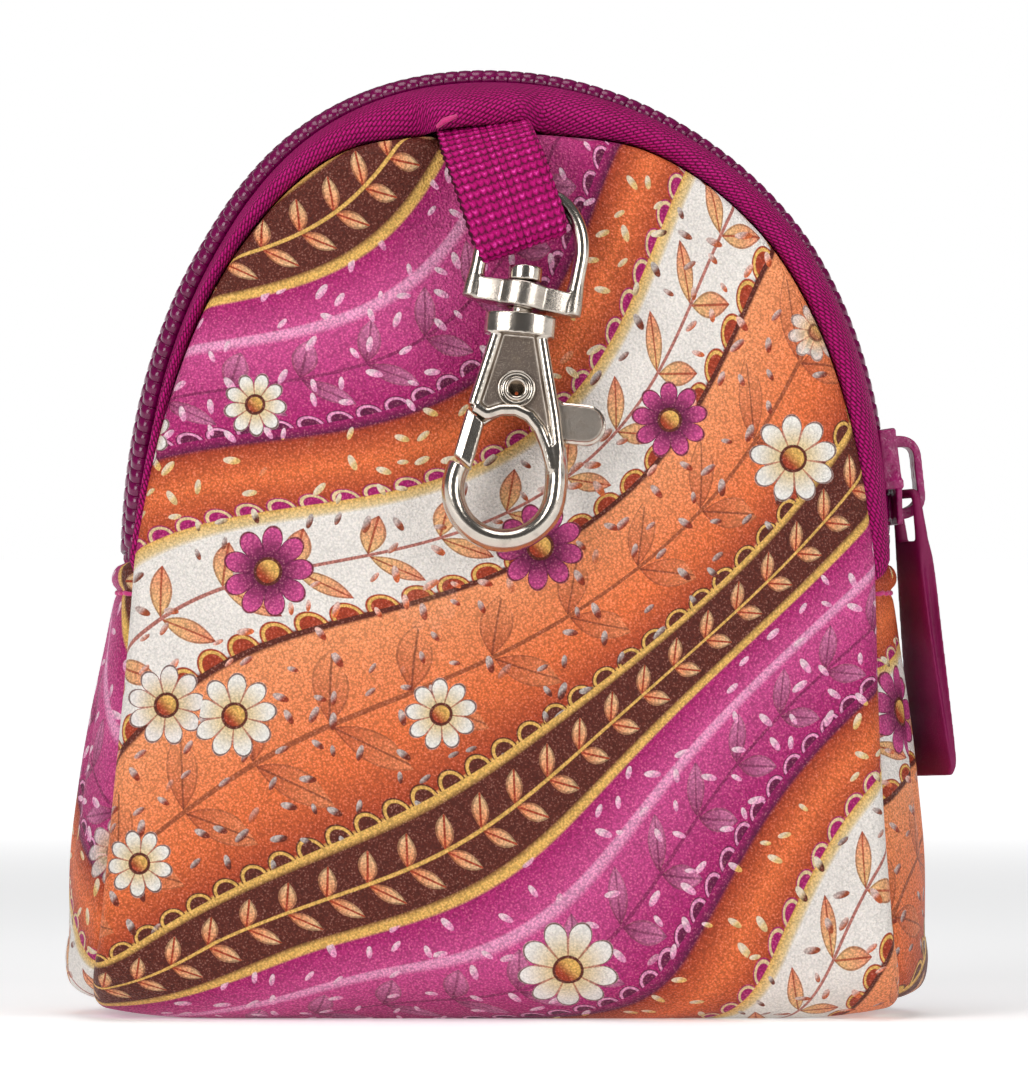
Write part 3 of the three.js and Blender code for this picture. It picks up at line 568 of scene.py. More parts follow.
# %% [markdown]
# ## Seeds
# Seeds lie scattered over the ribbons, pale on the dark ones. A Voronoi texture gives every place its
# nearest scattered point with three random values, so one expression draws them all, each turned and
# sized on its own. Points could be set by hand, but chance looks freer here.

# %% Seeds
FULL_TURN = 6.28
SEED = {
    "spacing": 3.2, "scatter": 0.75, "length": 0.85, "width": 0.36, "growth": 0.5, "small": 0.75,
    "shown": (0.30, 0.34), "clear": (4.7, 4.5), "edge": (-0.12, 0.22), "lit_half": 0.5, "lit_share": 0.5,
}
SEED_STOPS = (
    (0.0, "pink"), (0.26, "pink"), (0.27, "gold"), (0.40, "umber"), (0.655, "rust"), (0.665, "orange"),
    (0.86, "umber"), (0.87, "sand"), (1.0, "gold"),
)


def cell(place, spacing, randomness):
    """Scattered points: place relative to the nearest one, its own place, and three random values."""
    settings = {"voronoi_dimensions": "2D", "feature": "F1"}
    sockets = {"Vector": place, "Scale": 1 / spacing, "Randomness": randomness}
    colour = place.make("TexVoronoi", settings, sockets, "Color")
    centre = colour.sibling("Position")
    return place.minus(centre).parts()[:2], centre.parts()[:2], colour.parts()


def print_seeds(colour, chart, ribbon):
    """Scattered seeds, pale on the dark ribbons and dark on the pale ones."""
    (dx, dy), _, (turn, kind, size) = cell(chart, SEED["spacing"], SEED["scatter"])
    angle = turn * FULL_TURN
    cosine = (angle + np.pi / 2).sin()
    ahead = dx * cosine + dy * angle.sin()
    aside = dy * cosine - dx * angle.sin()
    scale = size * SEED["growth"] + SEED["small"]
    inside = 1 - (ahead / (scale * SEED["length"])) ** 2 - (aside / (scale * SEED["width"])) ** 2
    clear = abs(ribbon - VINES[0]["middle"]).ramp(*SEED["clear"])
    shown = kind.ramp(*SEED["shown"]) * (1 - clear)
    seed = inside.ramp(*SEED["edge"]) * shown
    tint = ribbon.make("ValToRGB", {"stops": ramp_stops(SEED_STOPS)}, {0: ribbon / RIBBON_REPEAT})
    lit = (dy - dx).ramp(-SEED["lit_half"], SEED["lit_half"])
    tint = (lit * SEED["lit_share"]).mix(tint, printed("white"))
    return seed.mix(colour, tint)


print("a place for a seed every", SEED["spacing"], "mm or so")

# %% [markdown]
# ## Daisies
# Daisies open on the wider ribbons, in two colourings. They come from scattered points as the seeds
# do. The angle round the point makes the petals, the distance from it their shading and the eye, and
# the ribbon under the point says whether the flower shows at all and in which inks.

# %% Daisies and the whole print
DAISY = {
    "spacing": 15.0, "scatter": 0.62, "petals": 9.0, "small": 3.3, "growth": 2.4, "notch": 0.58,
    "round": 0.55, "soft": 0.08, "line": 0.22, "line_ink": 0.9, "crease": (0.30, 0.12), "crease_ink": 0.7,
    "shade": (0.25, 0.95), "eye": 0.28, "eye_light": 1.2, "eye_rim": (0.24, 0.10), "shown": (0.22, 0.26),
}
DAISY_BEDS = (((29.0, 30.0), (57.0, 56.0)), ((3.0, 4.0), (11.0, 10.0)))
PALE_GROUND = (45.0, 45.6)


def print_daisies(colour, chart):
    """Open flowers with drawn petals, in two colourings, set on the wider ribbons."""
    bloom = DAISY
    (dx, dy), (cx, cy), (turn, kind, size) = cell(chart, bloom["spacing"], bloom["scatter"])
    radius = (dx * dx + dy * dy) ** 0.5
    angle = dx.math("ARCTAN2", dy, dx) + turn * FULL_TURN
    reach = size * bloom["growth"] + bloom["small"]
    wave = abs((angle * (bloom["petals"] / 2)).sin())
    edge = reach * (bloom["notch"] + (1 - bloom["notch"]) * wave ** bloom["round"])
    home = ribbon_place(cx, cy)
    first, second = (home.ramp(*start) * home.ramp(*end) for start, end in DAISY_BEDS)
    shown = kind.ramp(*bloom["shown"]) * (first + second)
    flower = (edge - radius).ramp(-bloom["soft"], bloom["soft"]) * shown
    outline = (edge - radius).ramp(bloom["line"] + bloom["soft"], bloom["line"] - bloom["soft"]) * flower
    crease = wave.ramp(*bloom["crease"]) * flower
    pale = home.ramp(*PALE_GROUND)
    inner = pale.mix(printed("sand"), printed("plum"))
    outer = pale.mix(printed("white"), printed("rose"))
    petals = (radius / reach).ramp(*bloom["shade"]).mix(inner, outer)
    colour = flower.mix(colour, petals)
    colour = (outline * bloom["line_ink"]).mix(colour, printed("umber"))
    colour = (crease * bloom["crease_ink"]).mix(colour, pale.mix(printed("rust"), printed("plum")))
    beyond = reach * bloom["eye"] - radius
    lit = (dx + dy).ramp(-bloom["eye_light"], bloom["eye_light"])
    eye = beyond.ramp(-bloom["soft"], bloom["soft"]) * shown
    colour = eye.mix(colour, lit.mix(printed("rust"), printed("gold")))
    rim = abs(beyond).ramp(*bloom["eye_rim"]) * shown
    return rim.mix(colour, printed("umber"))


def print_colour(chart):
    """The printed design as a colour over map coordinates in millimetres."""
    x, up, _ = chart.parts()
    ribbon = ribbon_place(x, up)
    colour = print_ribbons(ribbon)
    along = x * SLANT["ahead"] + up * SLANT["aside"]
    for vine in VINES:
        colour = print_vine(colour, along, ribbon, vine)
    for scallop in SCALLOPS:
        colour = print_scallops(colour, along, ribbon, scallop)
    colour = print_seeds(colour, chart, ribbon)
    return print_daisies(colour, chart)


print(f"daisies of {DAISY['petals']:.0f} petals, up to {DAISY['small'] + DAISY['growth']:.1f} mm in radius")

# %% [markdown]
# ## Printed leatherette
# The pouch is made of padded leatherette with a fine pebble grain, half gloss. On the real one the
# print lies under the grain, and the tips of the pebbles catch the light and wear pale; here the pale
# tips are painted into the colour, partly as wear and partly as a painted highlight. Cells and fine
# noise give the height, which drives both the relief and the tone of the print: darker in the hollows
# of the grain, partly as the grain's own tone and partly as painted shade. The pale inks show the
# grain less, so their share of it is smaller.

# %% Leatherette material
LEATHER = {
    "mottle": 6.0, "pebble": 0.3, "wrinkle": 0.2, "relief": 0.2, "pebble_depth": 0.9, "wrinkle_depth": 1.3,
    "tips": (1.3, 1.65), "shade": (0.8, 1.6), "pale": (0.35, 0.75), "tip_ink": (255, 206, 186),
}
LEATHER_TONE = {"base": 0.58, "mottle": 0.2, "grain": 0.55, "pale_grain": 0.32, "pale": 0.13}
LEATHER_TIPS = {"all": 0.15, "pale": 0.1}
LEATHER_GLOSS = {"base": 0.26, "wrinkle": 0.2, "pebble": 0.16}


def printed_leatherette():
    material, shader, place = start_material("printed_leatherette")
    spot = in_millimetres(place)
    chart = map_place(place)
    mottle = noise(spot, LEATHER["mottle"], detail=5.0)
    pebble = {"Vector": spot, "Scale": 1 / LEATHER["pebble"], "Randomness": 1.0}
    grain = place.make("TexVoronoi", {"feature": "F1"}, pebble)
    wrinkle = noise(spot, LEATHER["wrinkle"])
    height = 1 - grain * LEATHER["pebble_depth"] + wrinkle * LEATHER["wrinkle_depth"]
    design = print_colour(chart)
    pale = design.parts()[1].ramp(*LEATHER["pale"])
    tone, tips, shine = LEATHER_TONE, LEATHER_TIPS, LEATHER_GLOSS
    # Darker in the hollows of the grain: partly the grain's own tone, partly painted shade.
    shade = height.ramp(*LEATHER["shade"]) * (tone["grain"] - pale * tone["pale_grain"])
    value = mottle * tone["mottle"] + shade + tone["base"] + pale * tone["pale"]
    colour = place.make("HueSaturation", None, {"Value": value, "Color": design})
    # Pale tips of the pebbles: partly wear, partly a painted highlight.
    lit = height.ramp(*LEATHER["tips"]) * (tips["all"] - pale * tips["pale"])
    wear_and_glint = lit.mix(colour, paint(*LEATHER["tip_ink"]))
    gloss = wrinkle * shine["wrinkle"] + grain * shine["pebble"] + shine["base"]
    fixed = {"Specular IOR Level": 0.25}
    varying = {"Base Color": wear_and_glint, "Roughness": gloss}
    finish_material(place, shader, fixed, varying, height, LEATHER["relief"])
    return material


PRINT = printed_leatherette()
print("print material has", len(PRINT.node_tree.nodes), "nodes")

# %% [markdown]
# ## The swell of the faces
# One length of leatherette makes the front, runs under the pouch and becomes the back. It is padded,
# so it swells between its seams and is never quite even. A simulation could blow it out, but the
# swell is known from the photo's light and outline. Here it is a depth over the flat outline.

# %% Panel outline and swell
ROLL = 1.5
WALL = 1.8
EDGE_STEPS = 281
SIDE_STEPS = 80
PUFF = {"side_power": 2.4, "top_power": 4.0}
TINY = 1e-6
SLACK = (
    {"depth": 0.22, "first": (0.11, 0.05, 0.0), "second": (-0.03, 0.09, 1.0)},
    {"depth": 0.10, "first": (0.31, -0.17, 0.6), "second": (0.0, 0.23, 2.0)},
)


def panel_boundary(dip):
    """The face's outline from its right foot over the arch to its left foot, evenly stepped."""
    heights = np.linspace(FOLD_RADIUS, ARCH["base"], SIDE_STEPS)[:-1]
    side = np.stack([panel_half(heights), heights], -1)
    arch = panel_edge(ARCH_ANGLES, dip)
    return resample(np.concatenate([side, arch, side[::-1] * (-1, 1)]), EDGE_STEPS)


def face_depth(x, height):
    """Depth of the puffed face in front of the mid-plane."""
    line = panel_boundary(0)[: EDGE_STEPS // 2 + 1]
    u = np.clip(np.abs(x) / np.interp(height, line[:, 1], line[:, 0]), 0, 1)
    top = np.interp(np.abs(x), line[::-1, 0], line[::-1, 1])
    v = np.clip((height - FOLD_RADIUS) / (top - FOLD_RADIUS + TINY), 0, 1)
    seam = seam_depth(height)
    middle = smooth(PANEL_DEPTH, "height", "middle", height)
    return seam + (middle - seam) * (1 - u ** PUFF["side_power"]) * (1 - v ** PUFF["top_power"])


def wave(x, height, rates):
    across, up, start = rates
    return np.sin(x * across + height * up + start)


def slack(x, height):
    """Shallow unevenness of the padded face."""
    products = (wave(x, height, row["first"]) * wave(x, height, row["second"]) for row in SLACK)
    return sum(row["depth"] * product for row, product in zip(SLACK, products))


print(f"swell at mid height: {face_depth(0, 52) - seam_depth(52):.1f} mm")

# %% [markdown]
# ## Front and back
# The panel's edge is turned in at the seams, so the eye sees a small roll there and never a cut edge.
# A flat grid stretched over the dome would pinch in its upper corners. A fan of lines from the middle
# of the base to every point of the edge doesn't. On the map the roll is laid out flat, as the cloth
# was printed, so the print isn't stretched over it.

# %% Panel faces
TURN_IN = 1.6
RING_SHARES = np.linspace(0, 1, 53)
ROLL_TURNS = np.radians((18, 36, 54, 72, 90))
ROLL_INSETS = np.r_[ROLL * (1 - np.sin(ROLL_TURNS)), 0]
ROLL_DROPS = np.r_[ROLL * (1 - np.cos(ROLL_TURNS)), ROLL + TURN_IN]
LAID_OUT = np.r_[ROLL * (1 - ROLL_TURNS), ROLL * (1 - ROLL_TURNS[-1]) - TURN_IN]


def panel_face(side, dip):
    """One dome-shaped face as a fan: rows from the foot to the edge, columns round the edge."""
    edge = panel_boundary(dip)
    run = unit(np.gradient(edge, axis=0))
    inward = np.stack([-run[:, 1], run[:, 0]], -1)
    inward[0], inward[-1] = (-1, 0), (1, 0)
    foot = np.array([0, FOLD_RADIUS])
    fan = [foot + share * (edge + ROLL * inward - foot) for share in RING_SHARES]
    rolled = [edge + inset * inward for inset in ROLL_INSETS]
    laid = [edge + inset * inward for inset in LAID_OUT]
    drops = np.r_[np.zeros(len(fan)), ROLL_DROPS]
    flat = np.array(fan + rolled)
    x, height = flat[..., 0], flat[..., 1]
    depth = face_depth(x, height) - drops[:, None] + slack(x, height)
    points = np.stack([x + lean(height), side * depth, height], -1)
    return points, np.array(fan + laid)


print(len(RING_SHARES), "rings in the fan and", len(ROLL_DROPS), "round its rolled edge")

# %% [markdown]
# ## Base
# The leatherette turns under the pouch in a soft fold, lies flat and turns up again at the back. Its
# corners stand a little off the floor. A strip of rows carries the fold and the base, with the same
# columns as the feet of the faces, so that all three grids weld into one sheet.

# %% Base and panel
FOLD_TURNS = np.radians(np.linspace(0, 90, 25))
CORNER = {"from": 33.0, "run": 12.0, "lift": 1.3, "most": 1.2}


def corner_lift(x):
    """The base's corners stand a little off the floor."""
    share = np.clip((np.abs(x) - CORNER["from"]) / CORNER["run"], 0, CORNER["most"])
    return CORNER["lift"] * share ** 2


def both_halves(right, middle, sign=1):
    """Values over the whole width of the base, from those of its right half."""
    return np.r_[sign * right[::-1], middle, right]


def base_strip():
    """The fold under the front, the flat base and the fold under the back."""
    flat = np.full(len(RING_SHARES) - 1, ROLL)
    share = both_halves(np.r_[RING_SHARES[1:], np.ones(len(ROLL_DROPS))], 0, -1)
    drop = both_halves(np.r_[0 * flat, ROLL_DROPS], 0)
    edge = both_halves(np.r_[flat, ROLL_INSETS], ROLL)
    laid = both_halves(np.r_[flat, LAID_OUT], ROLL)
    rows, spread = [], []
    turns = np.r_[FOLD_TURNS, FOLD_TURNS[::-1]]
    sides = np.repeat((-1.0, 1.0), len(FOLD_TURNS))
    for turn, side in zip(turns, sides):
        height = FOLD_RADIUS * (1 - np.sin(turn))
        half = panel_half(height)
        x = share * (half - edge)
        spread.append(share * (half - laid))
        depth = face_depth(share * (panel_half(FOLD_RADIUS) - edge), np.full_like(x, FOLD_RADIUS))
        depth = depth + slack(x, FOLD_RADIUS) * np.cos(turn)
        lift = smooth(FOLD_LIFT, "across", "lift", x) * np.sin(2 * turn)
        y = depth - FOLD_RADIUS * (1 - np.cos(turn)) - drop * np.cos(turn)
        z = height + lift + (drop + corner_lift(x)) * np.sin(turn)
        rows.append(np.stack([x + lean(height), side * y, z], -1))
    points = np.array(rows)
    run = run_lengths(points[:, points.shape[1] // 2])
    chart = np.stack([spread, np.broadcast_to(FOLD_RADIUS - run[:, None], points.shape[:2])], -1)
    return points, chart, run[-1]


def body_panel():
    front, front_chart = panel_face(-1, SLOT["panel_dip"])
    back, back_chart = panel_face(1, 0.0)
    strip, strip_chart, base_run = base_strip()
    back_chart[..., 1] = 2 * FOLD_RADIUS - base_run - back_chart[..., 1]
    grids = [(front, front_chart), (back[:, ::-1], back_chart[:, ::-1]), (strip, strip_chart)]
    panel = sewn_sheet("panel_leatherette", grids, WALL)
    seat(panel, PRINT, "pouch", "leatherette", "body_panel")


body_panel()

# %% [markdown]
# ## Side gussets
# A gusset fills each side below the zip. It bulges, its edges roll into the seam, and its top is a
# rolled hem with a row of thick magenta stitches under it. A simulation could blow it out, but the
# bulge is known from the outline, so a grid of rows takes it from a table. One soft upright crease
# shows how the side folds when the pouch is flat.

# %% Gussets
GUSSET = {
    "height": (9, 18, 26, 34, 42, 47.2, 48.0, 48.6, 49.6, 50.8, 51.3),
    "bulge": (4.1, 4.8, 4.6, 4.0, 3.0, 2.3, 1.9, 2.5, 2.8, 2.3, 1.3),
}
GUSSET_FOLD = {"turn": (0, 30, 60, 90), "bulge": (4.2, 4.2, 3.4, 1.2)}
GUSSET_GRID = {"columns": 61, "rows": 100, "fold_rows": 31}
GUSSET_HEM = ((1.7, -0.35), (0.9, 0.25))
GUSSET_SEAM = 0.25
GUSSET_DROP = 1.2
GUSSET_PRINT = 70
BULGE_POWER = 2.2
CREASE = {"place": -0.34, "width": 0.10, "depth": 0.55, "low": 14.0, "high": 46.0, "fade": 12}


def edge_distance(flat):
    """Distance of every grid point from the sewn edges: both side columns and the last row."""
    seams = np.concatenate([flat[:, 0], flat[-1], flat[::-1, -1]])
    points = flat.reshape(-1, 2)
    best = np.full(len(points), np.inf)
    for start, end in zip(seams[:-1], seams[1:]):
        along = end - start
        size = max(float(along @ along), TINY ** 2)
        t = np.clip((points - start) @ along / size, 0, 1)
        best = np.minimum(best, np.linalg.norm(points - start - t[:, None] * along, axis=1))
    return best.reshape(flat.shape[:2])


def rolled_in(near):
    """How far an edge sinks as it rolls into its seam, from 0 to the radius of the roll."""
    return ROLL * (1 - np.sqrt(1 - near ** 2))


def crease_depth(share, height):
    """Depth of the upright crease, which fades out above and below."""
    above = np.clip((height - CREASE["low"]) / CREASE["fade"], 0, 1)
    below = np.clip((CREASE["high"] - height) / CREASE["fade"], 0, 1)
    across = np.exp(-(((share - CREASE["place"]) / CREASE["width"]) ** 2))
    return across * CREASE["depth"] * (above * below)


def gusset_rows(side):
    """Height, half depth and bulge of every row, from the hem down and round the fold."""
    heights = np.linspace(GUSSET["height"][-1], FOLD_RADIUS, GUSSET_GRID["rows"])
    depth = seam_depth(heights) - ROLL - GUSSET_SEAM
    bulge = smooth(GUSSET, "height", "bulge", heights)
    turns = np.radians(np.linspace(0, 90, GUSSET_GRID["fold_rows"]))[1:]
    reach = FOLD_RADIUS - ROLL - GUSSET_SEAM
    low = FOLD_RADIUS - (reach + GUSSET_DROP) * np.sin(turns)
    low = low + smooth(FOLD_LIFT, "across", "lift", side * panel_half(low)) * np.sin(2 * turns)
    low = low + corner_lift(panel_half(0)) * np.sin(turns)
    low_depth = seam_depth(FOLD_RADIUS) - FOLD_RADIUS + reach * np.cos(turns)
    low_bulge = smooth(GUSSET_FOLD, "turn", "bulge", np.degrees(turns))
    return np.r_[heights, low], np.r_[depth, low_depth], np.r_[bulge, low_bulge]


def gusset(name, side, node):
    share = np.sin(np.linspace(-np.pi / 2, np.pi / 2, GUSSET_GRID["columns"]))
    heights, depth, bulge = gusset_rows(side)
    y = share * depth[:, None]
    z = np.broadcast_to(heights[:, None], y.shape)
    near = np.clip(1 - edge_distance(np.stack([y, z], -1)) / ROLL, 0, 1)
    x = panel_half(heights)[:, None] + bulge[:, None] * (1 - np.abs(share) ** BULGE_POWER)
    x = x - crease_depth(share, z) - rolled_in(near)
    points = np.stack([side * x + lean(z), y, z], -1)
    hem = np.array([(-side * inward, 0, rise) for inward, rise in GUSSET_HEM])
    points = np.concatenate([points[:1] + hem[:, None], points])
    chart = np.stack([side * GUSSET_PRINT + points[..., 1], points[..., 2]], -1)
    if side < 0:
        points, chart = points[:, ::-1], chart[:, ::-1]
    item = sewn_sheet(name, [(points, chart)], WALL)
    seat(item, PRINT, "pouch", "leatherette", node)


for word, side in (("left", -1), ("right", 1)):
    gusset(f"gusset_{word}_leatherette", side, f"gusset_{word}")

# %% [markdown]
# ## Tubes and threads
# Cords, threads and bent wire are all one thing: a round section carried along a line. A curve
# object with a bevel would do, but a mesh keeps every piece alike for the export. The section's
# frame is carried from point to point so that the tube never twists.

# %% Tube helper
def squared(values, power):
    """Sines or cosines of a round section, drawn towards those of a square one."""
    return np.sign(values) * np.abs(values) ** power


def ring_faces(count, sides):
    """Faces of a closed skin over rings of points, with both ends shut."""
    ids = np.arange(count * sides).reshape(count, sides)
    after = np.roll(ids, -1, axis=1)
    faces = np.stack([ids[:-1], after[:-1], after[1:], ids[1:]], -1).reshape(-1, 4).tolist()
    return faces + [ids[0, ::-1].tolist(), ids[-1].tolist()]


def tube(path, radius, sides=8, flat=1.0, first=(0.0, 0.0, 1.0), normals=None, square=1.0):
    """Points and faces of a closed tube along a path.

    The section's normal starts as first and is carried along, or is given point by point, and flat
    squeezes the section along it. A square of less than 1 makes a round section squarer.
    """
    path = np.asarray(path, float)
    run = unit(np.gradient(path, axis=0))
    radius = np.broadcast_to(radius, len(path))
    turn = np.linspace(0, 2 * np.pi, sides, endpoint=False)
    up, wide = squared(np.cos(turn), square), squared(np.sin(turn), square)
    normal = np.array(first, float)
    rings = []
    for index, (point, ahead, size) in enumerate(zip(path, run, radius)):
        normal = normal if normals is None else normals[index]
        normal = unit(normal - ahead * (normal @ ahead))
        side = np.cross(ahead, normal)
        rings.append(point + size * (flat * up[:, None] * normal + wide[:, None] * side))
    return np.concatenate(rings), ring_faces(len(path), sides)


def joined(name, solids):
    """One mesh object from several lists of points and faces."""
    vertices, faces, count = [], [], 0
    for points, sides in solids:
        vertices.append(points)
        faces += [[index + count for index in face] for face in sides]
        count += len(points)
    return new_object(name, np.concatenate(vertices), faces)


print("a tube of 3 rings has", len(ring_faces(3, 8)), "faces")

# %% [markdown]
# ## Woven zip tape
# The tape beside the coil is a close twill of magenta thread, paler in places on the tops of its ribs,
# partly from wear and partly as a painted highlight. Each thread could be a tube, but the ribs are only
# half a millimetre wide, so they are a height in the shader. Two sets of sines make it: leaning ribs,
# and the strands that lie across them like bricks. The height also sets the colour: dark in the grooves
# as painted shade, and light on the ribs as a painted highlight.

# %% Tape material
TWILL = {
    "row": 0.40, "float": 0.9, "turn": np.radians(32), "offset": 0.37, "sharp": 0.6,
    "fuzz": 0.22, "wear": 5.0, "relief": 0.2,
}
TAPE_LOOK = {
    "rib_height": 0.85, "fuzz_height": 0.7, "shade_gain": 0.75, "shade": (0.15, 0.95), "wear": 0.35,
    "rough": 0.75, "rib_shine": 0.3,
}
TAPE_INKS = {"dark": (64, 0, 30), "light": (184, 8, 110), "wear_and_glint": (214, 50, 150)}


def woven_tape():
    material, shader, place = start_material("woven_tape")
    along, across, _ = map_place(place).parts()
    spot = in_millimetres(place)
    cosine, sine = np.cos(TWILL["turn"]), np.sin(TWILL["turn"])
    row = (across * cosine - along * sine) / TWILL["row"]
    shift = row.math("FLOOR", row) * TWILL["offset"]
    brick = (along * cosine + across * sine) / TWILL["float"] + shift
    rib = abs((row * np.pi).sin())
    strand = abs((brick * np.pi).sin()) ** TWILL["sharp"]
    look = TAPE_LOOK
    fuzz = noise(spot, TWILL["fuzz"], detail=3.0)
    height = rib * strand * look["rib_height"] + fuzz * look["fuzz_height"]
    # Painted shade in the grooves and a painted highlight on the ribs, both from the height.
    shade = (height * look["shade_gain"]).ramp(*look["shade"])
    # Paler patches on the rib tops: partly wear, partly a painted highlight.
    wear_and_glint = noise(spot, TWILL["wear"]) * look["wear"]
    colour = shade.mix(paint(*TAPE_INKS["dark"]), paint(*TAPE_INKS["light"]))
    colour = (wear_and_glint * shade).mix(colour, paint(*TAPE_INKS["wear_and_glint"]))
    fixed = {"Sheen Weight": 0.01, "Sheen Roughness": 0.4, "Specular IOR Level": 0.12}
    varying = {"Base Color": colour, "Roughness": look["rough"] - rib * look["rib_shine"]}
    finish_material(place, shader, fixed, varying, height, TWILL["relief"])
    return material


TAPE_CLOTH = woven_tape()
print("twill of", TWILL["row"], "mm ribs:", len(TAPE_CLOTH.node_tree.nodes), "nodes")

# %% [markdown]
# ## The shape of the tape
# On this pouch the tape rolls over like piping between the coil and the seam, and narrows towards the
# ends of the zip. A cubic curve from the coil to the seam gives its section at every step round the
# arch. It stands up where the chain rolls away from it and over the webbing, and its tails are tucked in.

# %% Tapes
TAPE = {
    "thick": 1.0, "coil_half": 3.0, "gap": 0.25, "drop": 1.5, "roll_coil": 2.4, "roll_seam": 2.9,
    "rise": 0.62, "dive": 2.0, "end_dive": 0.75, "sink": 0.15, "narrow": 2.2, "full": 4.4,
    "end_rise": 3.2, "end_sink": -0.8, "hide": 0.7, "hide_share": 0.6,
    "tuck": 3.0, "tuck_lean": 0.35, "tuck_steps": 7, "rows": 421, "columns": 25,
}


def cubic(points, t):
    """A cubic curve from the first of four points to the last, drawn towards the two between."""
    start, first, second, end = points
    back = 1 - t
    return back ** 3 * start + 3 * t * back ** 2 * first + 3 * t * t * back * second + t ** 3 * end


def tape_curves(side):
    """The four points of the tape's section at every step round the arch, from coil to seam."""
    angle = np.linspace(0, np.pi, TAPE["rows"])
    origin, out, across = zip_frame(angle)
    flat, inset = arch_normal(angle), zip_inset(angle)
    full = np.clip((inset - TAPE["narrow"]) / (TAPE["full"] - TAPE["narrow"]), 0, 1)
    full = full * full * (3 - 2 * full)
    sink = TAPE["end_sink"] + (TAPE["sink"] - TAPE["end_sink"]) * full
    edge = arch_point(angle) + (sink - inset)[:, None] * flat
    over = slot_share(edge[:, 0], SLOT["tape_reach"], SLOT["tape_power"]) * (side < 0)
    edge[:, 1] += (SLOT["tape_rise"] + SLOT["tape_tilt"] * (edge[:, 0] - SLOT["centre"])) * over
    dive = TAPE["dive"] * (TAPE["end_dive"] + (1 - TAPE["end_dive"]) * full)
    depth = seam_depth(edge[:, 1]) - dive + SLOT["tape_out"] * over
    end = np.stack([edge[:, 0] + lean(edge[:, 1]), side * depth, edge[:, 1]], -1)
    hide = TAPE["hide"] * np.clip(-side * np.cos(angle), 0, 1)
    start = origin - TAPE["drop"] * out + side * (TAPE["coil_half"] + TAPE["gap"]) * across
    start = start + TAPE["hide_share"] * hide[:, None] * out
    first = start + (hide - TAPE["gap"])[:, None] * out + side * TAPE["roll_coil"] * across
    rise = TAPE["end_rise"] * (1 - full) + TAPE["rise"] * (inset - TAPE["drop"]) * full
    second = end + np.stack([rise * flat[:, 0], side * TAPE["roll_seam"] * full, rise * flat[:, 1]], -1)
    return start, first, second, end


def zip_tape(name, side, node):
    t = np.linspace(0, 1, TAPE["columns"])[None, :, None]
    points = cubic([line[:, None] for line in tape_curves(side)], t)
    down = np.linspace(1, 0, TAPE["tuck_steps"])[:-1, None, None] * TAPE["tuck"]
    right = points[0] + down * (-TAPE["tuck_lean"], 0, -1)
    left = points[-1] + down * (TAPE["tuck_lean"], 0, -1)
    points = np.concatenate([right, points, left[::-1]])
    length = np.linalg.norm(np.diff(points, axis=1), axis=2)
    width = np.concatenate([np.zeros((len(points), 1)), np.cumsum(length, axis=1)], axis=1)
    run = run_lengths(points[:, 0])
    chart = np.stack([np.broadcast_to(run[:, None], width.shape), width], -1)
    if side > 0:
        points, chart = points[:, ::-1], chart[:, ::-1]
    item = sewn_sheet(name, [(points, chart)], TAPE["thick"])
    seat(item, TAPE_CLOTH, "pouch", "tape", node)
    return item


FRONT_TAPE = zip_tape("tape_front_weave", -1, "zip_tape_front")
zip_tape("tape_back_weave", 1, "zip_tape_back")

# %% [markdown]
# ## The zip's coils
# A nylon zip is two springs of stiff thread, one sewn to each tape, whose turns hook together. The
# turns lean, so the closed zip looks like a rope of slanted beads. One long helix for each side is
# the honest way to make it, with a soft cord down its middle as on the real chain.

# %% Coil material and coils
COIL = {
    "pitch": 1.5, "wire": 0.80, "flat": 0.62, "square": 0.62, "low": -2.2, "head": 0.2, "lean": 0.42,
    "start": 0.3, "steps": 20, "sides": 10, "cord": 0.6, "cord_steps": 240,
}
FINE_STEPS = 2001


def clouded(name, dark, light, sizes, gloss, relief, fixed):
    """A finish of two mixed inks, with clouds of three sizes for its colour, gloss and relief."""
    material, shader, place = start_material(name)
    tint, haze, bumps = (noise(in_millimetres(place), size) for size in sizes)
    colour = tint.mix(paint(*dark), paint(*light))
    smoothest, spread = gloss
    varying = {"Base Color": colour, "Roughness": haze * spread + smoothest}
    finish_material(place, shader, fixed, varying, bumps, relief)
    return material


def along_arch(run):
    """Arch angles at distances along the zip."""
    angle = np.linspace(0, np.pi, FINE_STEPS)
    return np.interp(run, run_lengths(arch_point(angle)), angle)


def coil(name, side, shift):
    turns = int(ARCH_LENGTH / COIL["pitch"])
    turn = np.arange(turns * COIL["steps"]) / COIL["steps"]
    loop = 2 * np.pi * turn
    thin = COIL["wire"] * COIL["flat"]
    reach = (TAPE["coil_half"] - thin - COIL["head"]) / 2
    middle = COIL["head"] + reach
    half_low = COIL["low"] / 2
    sideways = middle + reach * np.cos(loop)
    rise = half_low + (-half_low - thin) * np.sin(loop)
    slant = COIL["lean"] * (sideways - middle - rise + half_low)
    run = (turn + COIL["start"] + shift) * COIL["pitch"] + slant
    origin, out, across = zip_frame(along_arch(np.clip(run, 0, ARCH_LENGTH)))
    path = origin + rise[:, None] * out + side * sideways[:, None] * across
    radial = np.sin(loop)[:, None] * out + side * np.cos(loop)[:, None] * across
    spring = tube(path, COIL["wire"], COIL["sides"], COIL["flat"], normals=radial, square=COIL["square"])
    origin, out, across = zip_frame(along_arch(np.linspace(0, ARCH_LENGTH, COIL["cord_steps"])))
    cord = tube(origin + half_low * out + side * middle * across, COIL["cord"])
    seat(joined(name, [spring, cord]), COIL_NYLON, "pouch", "coil", "zip_coil")


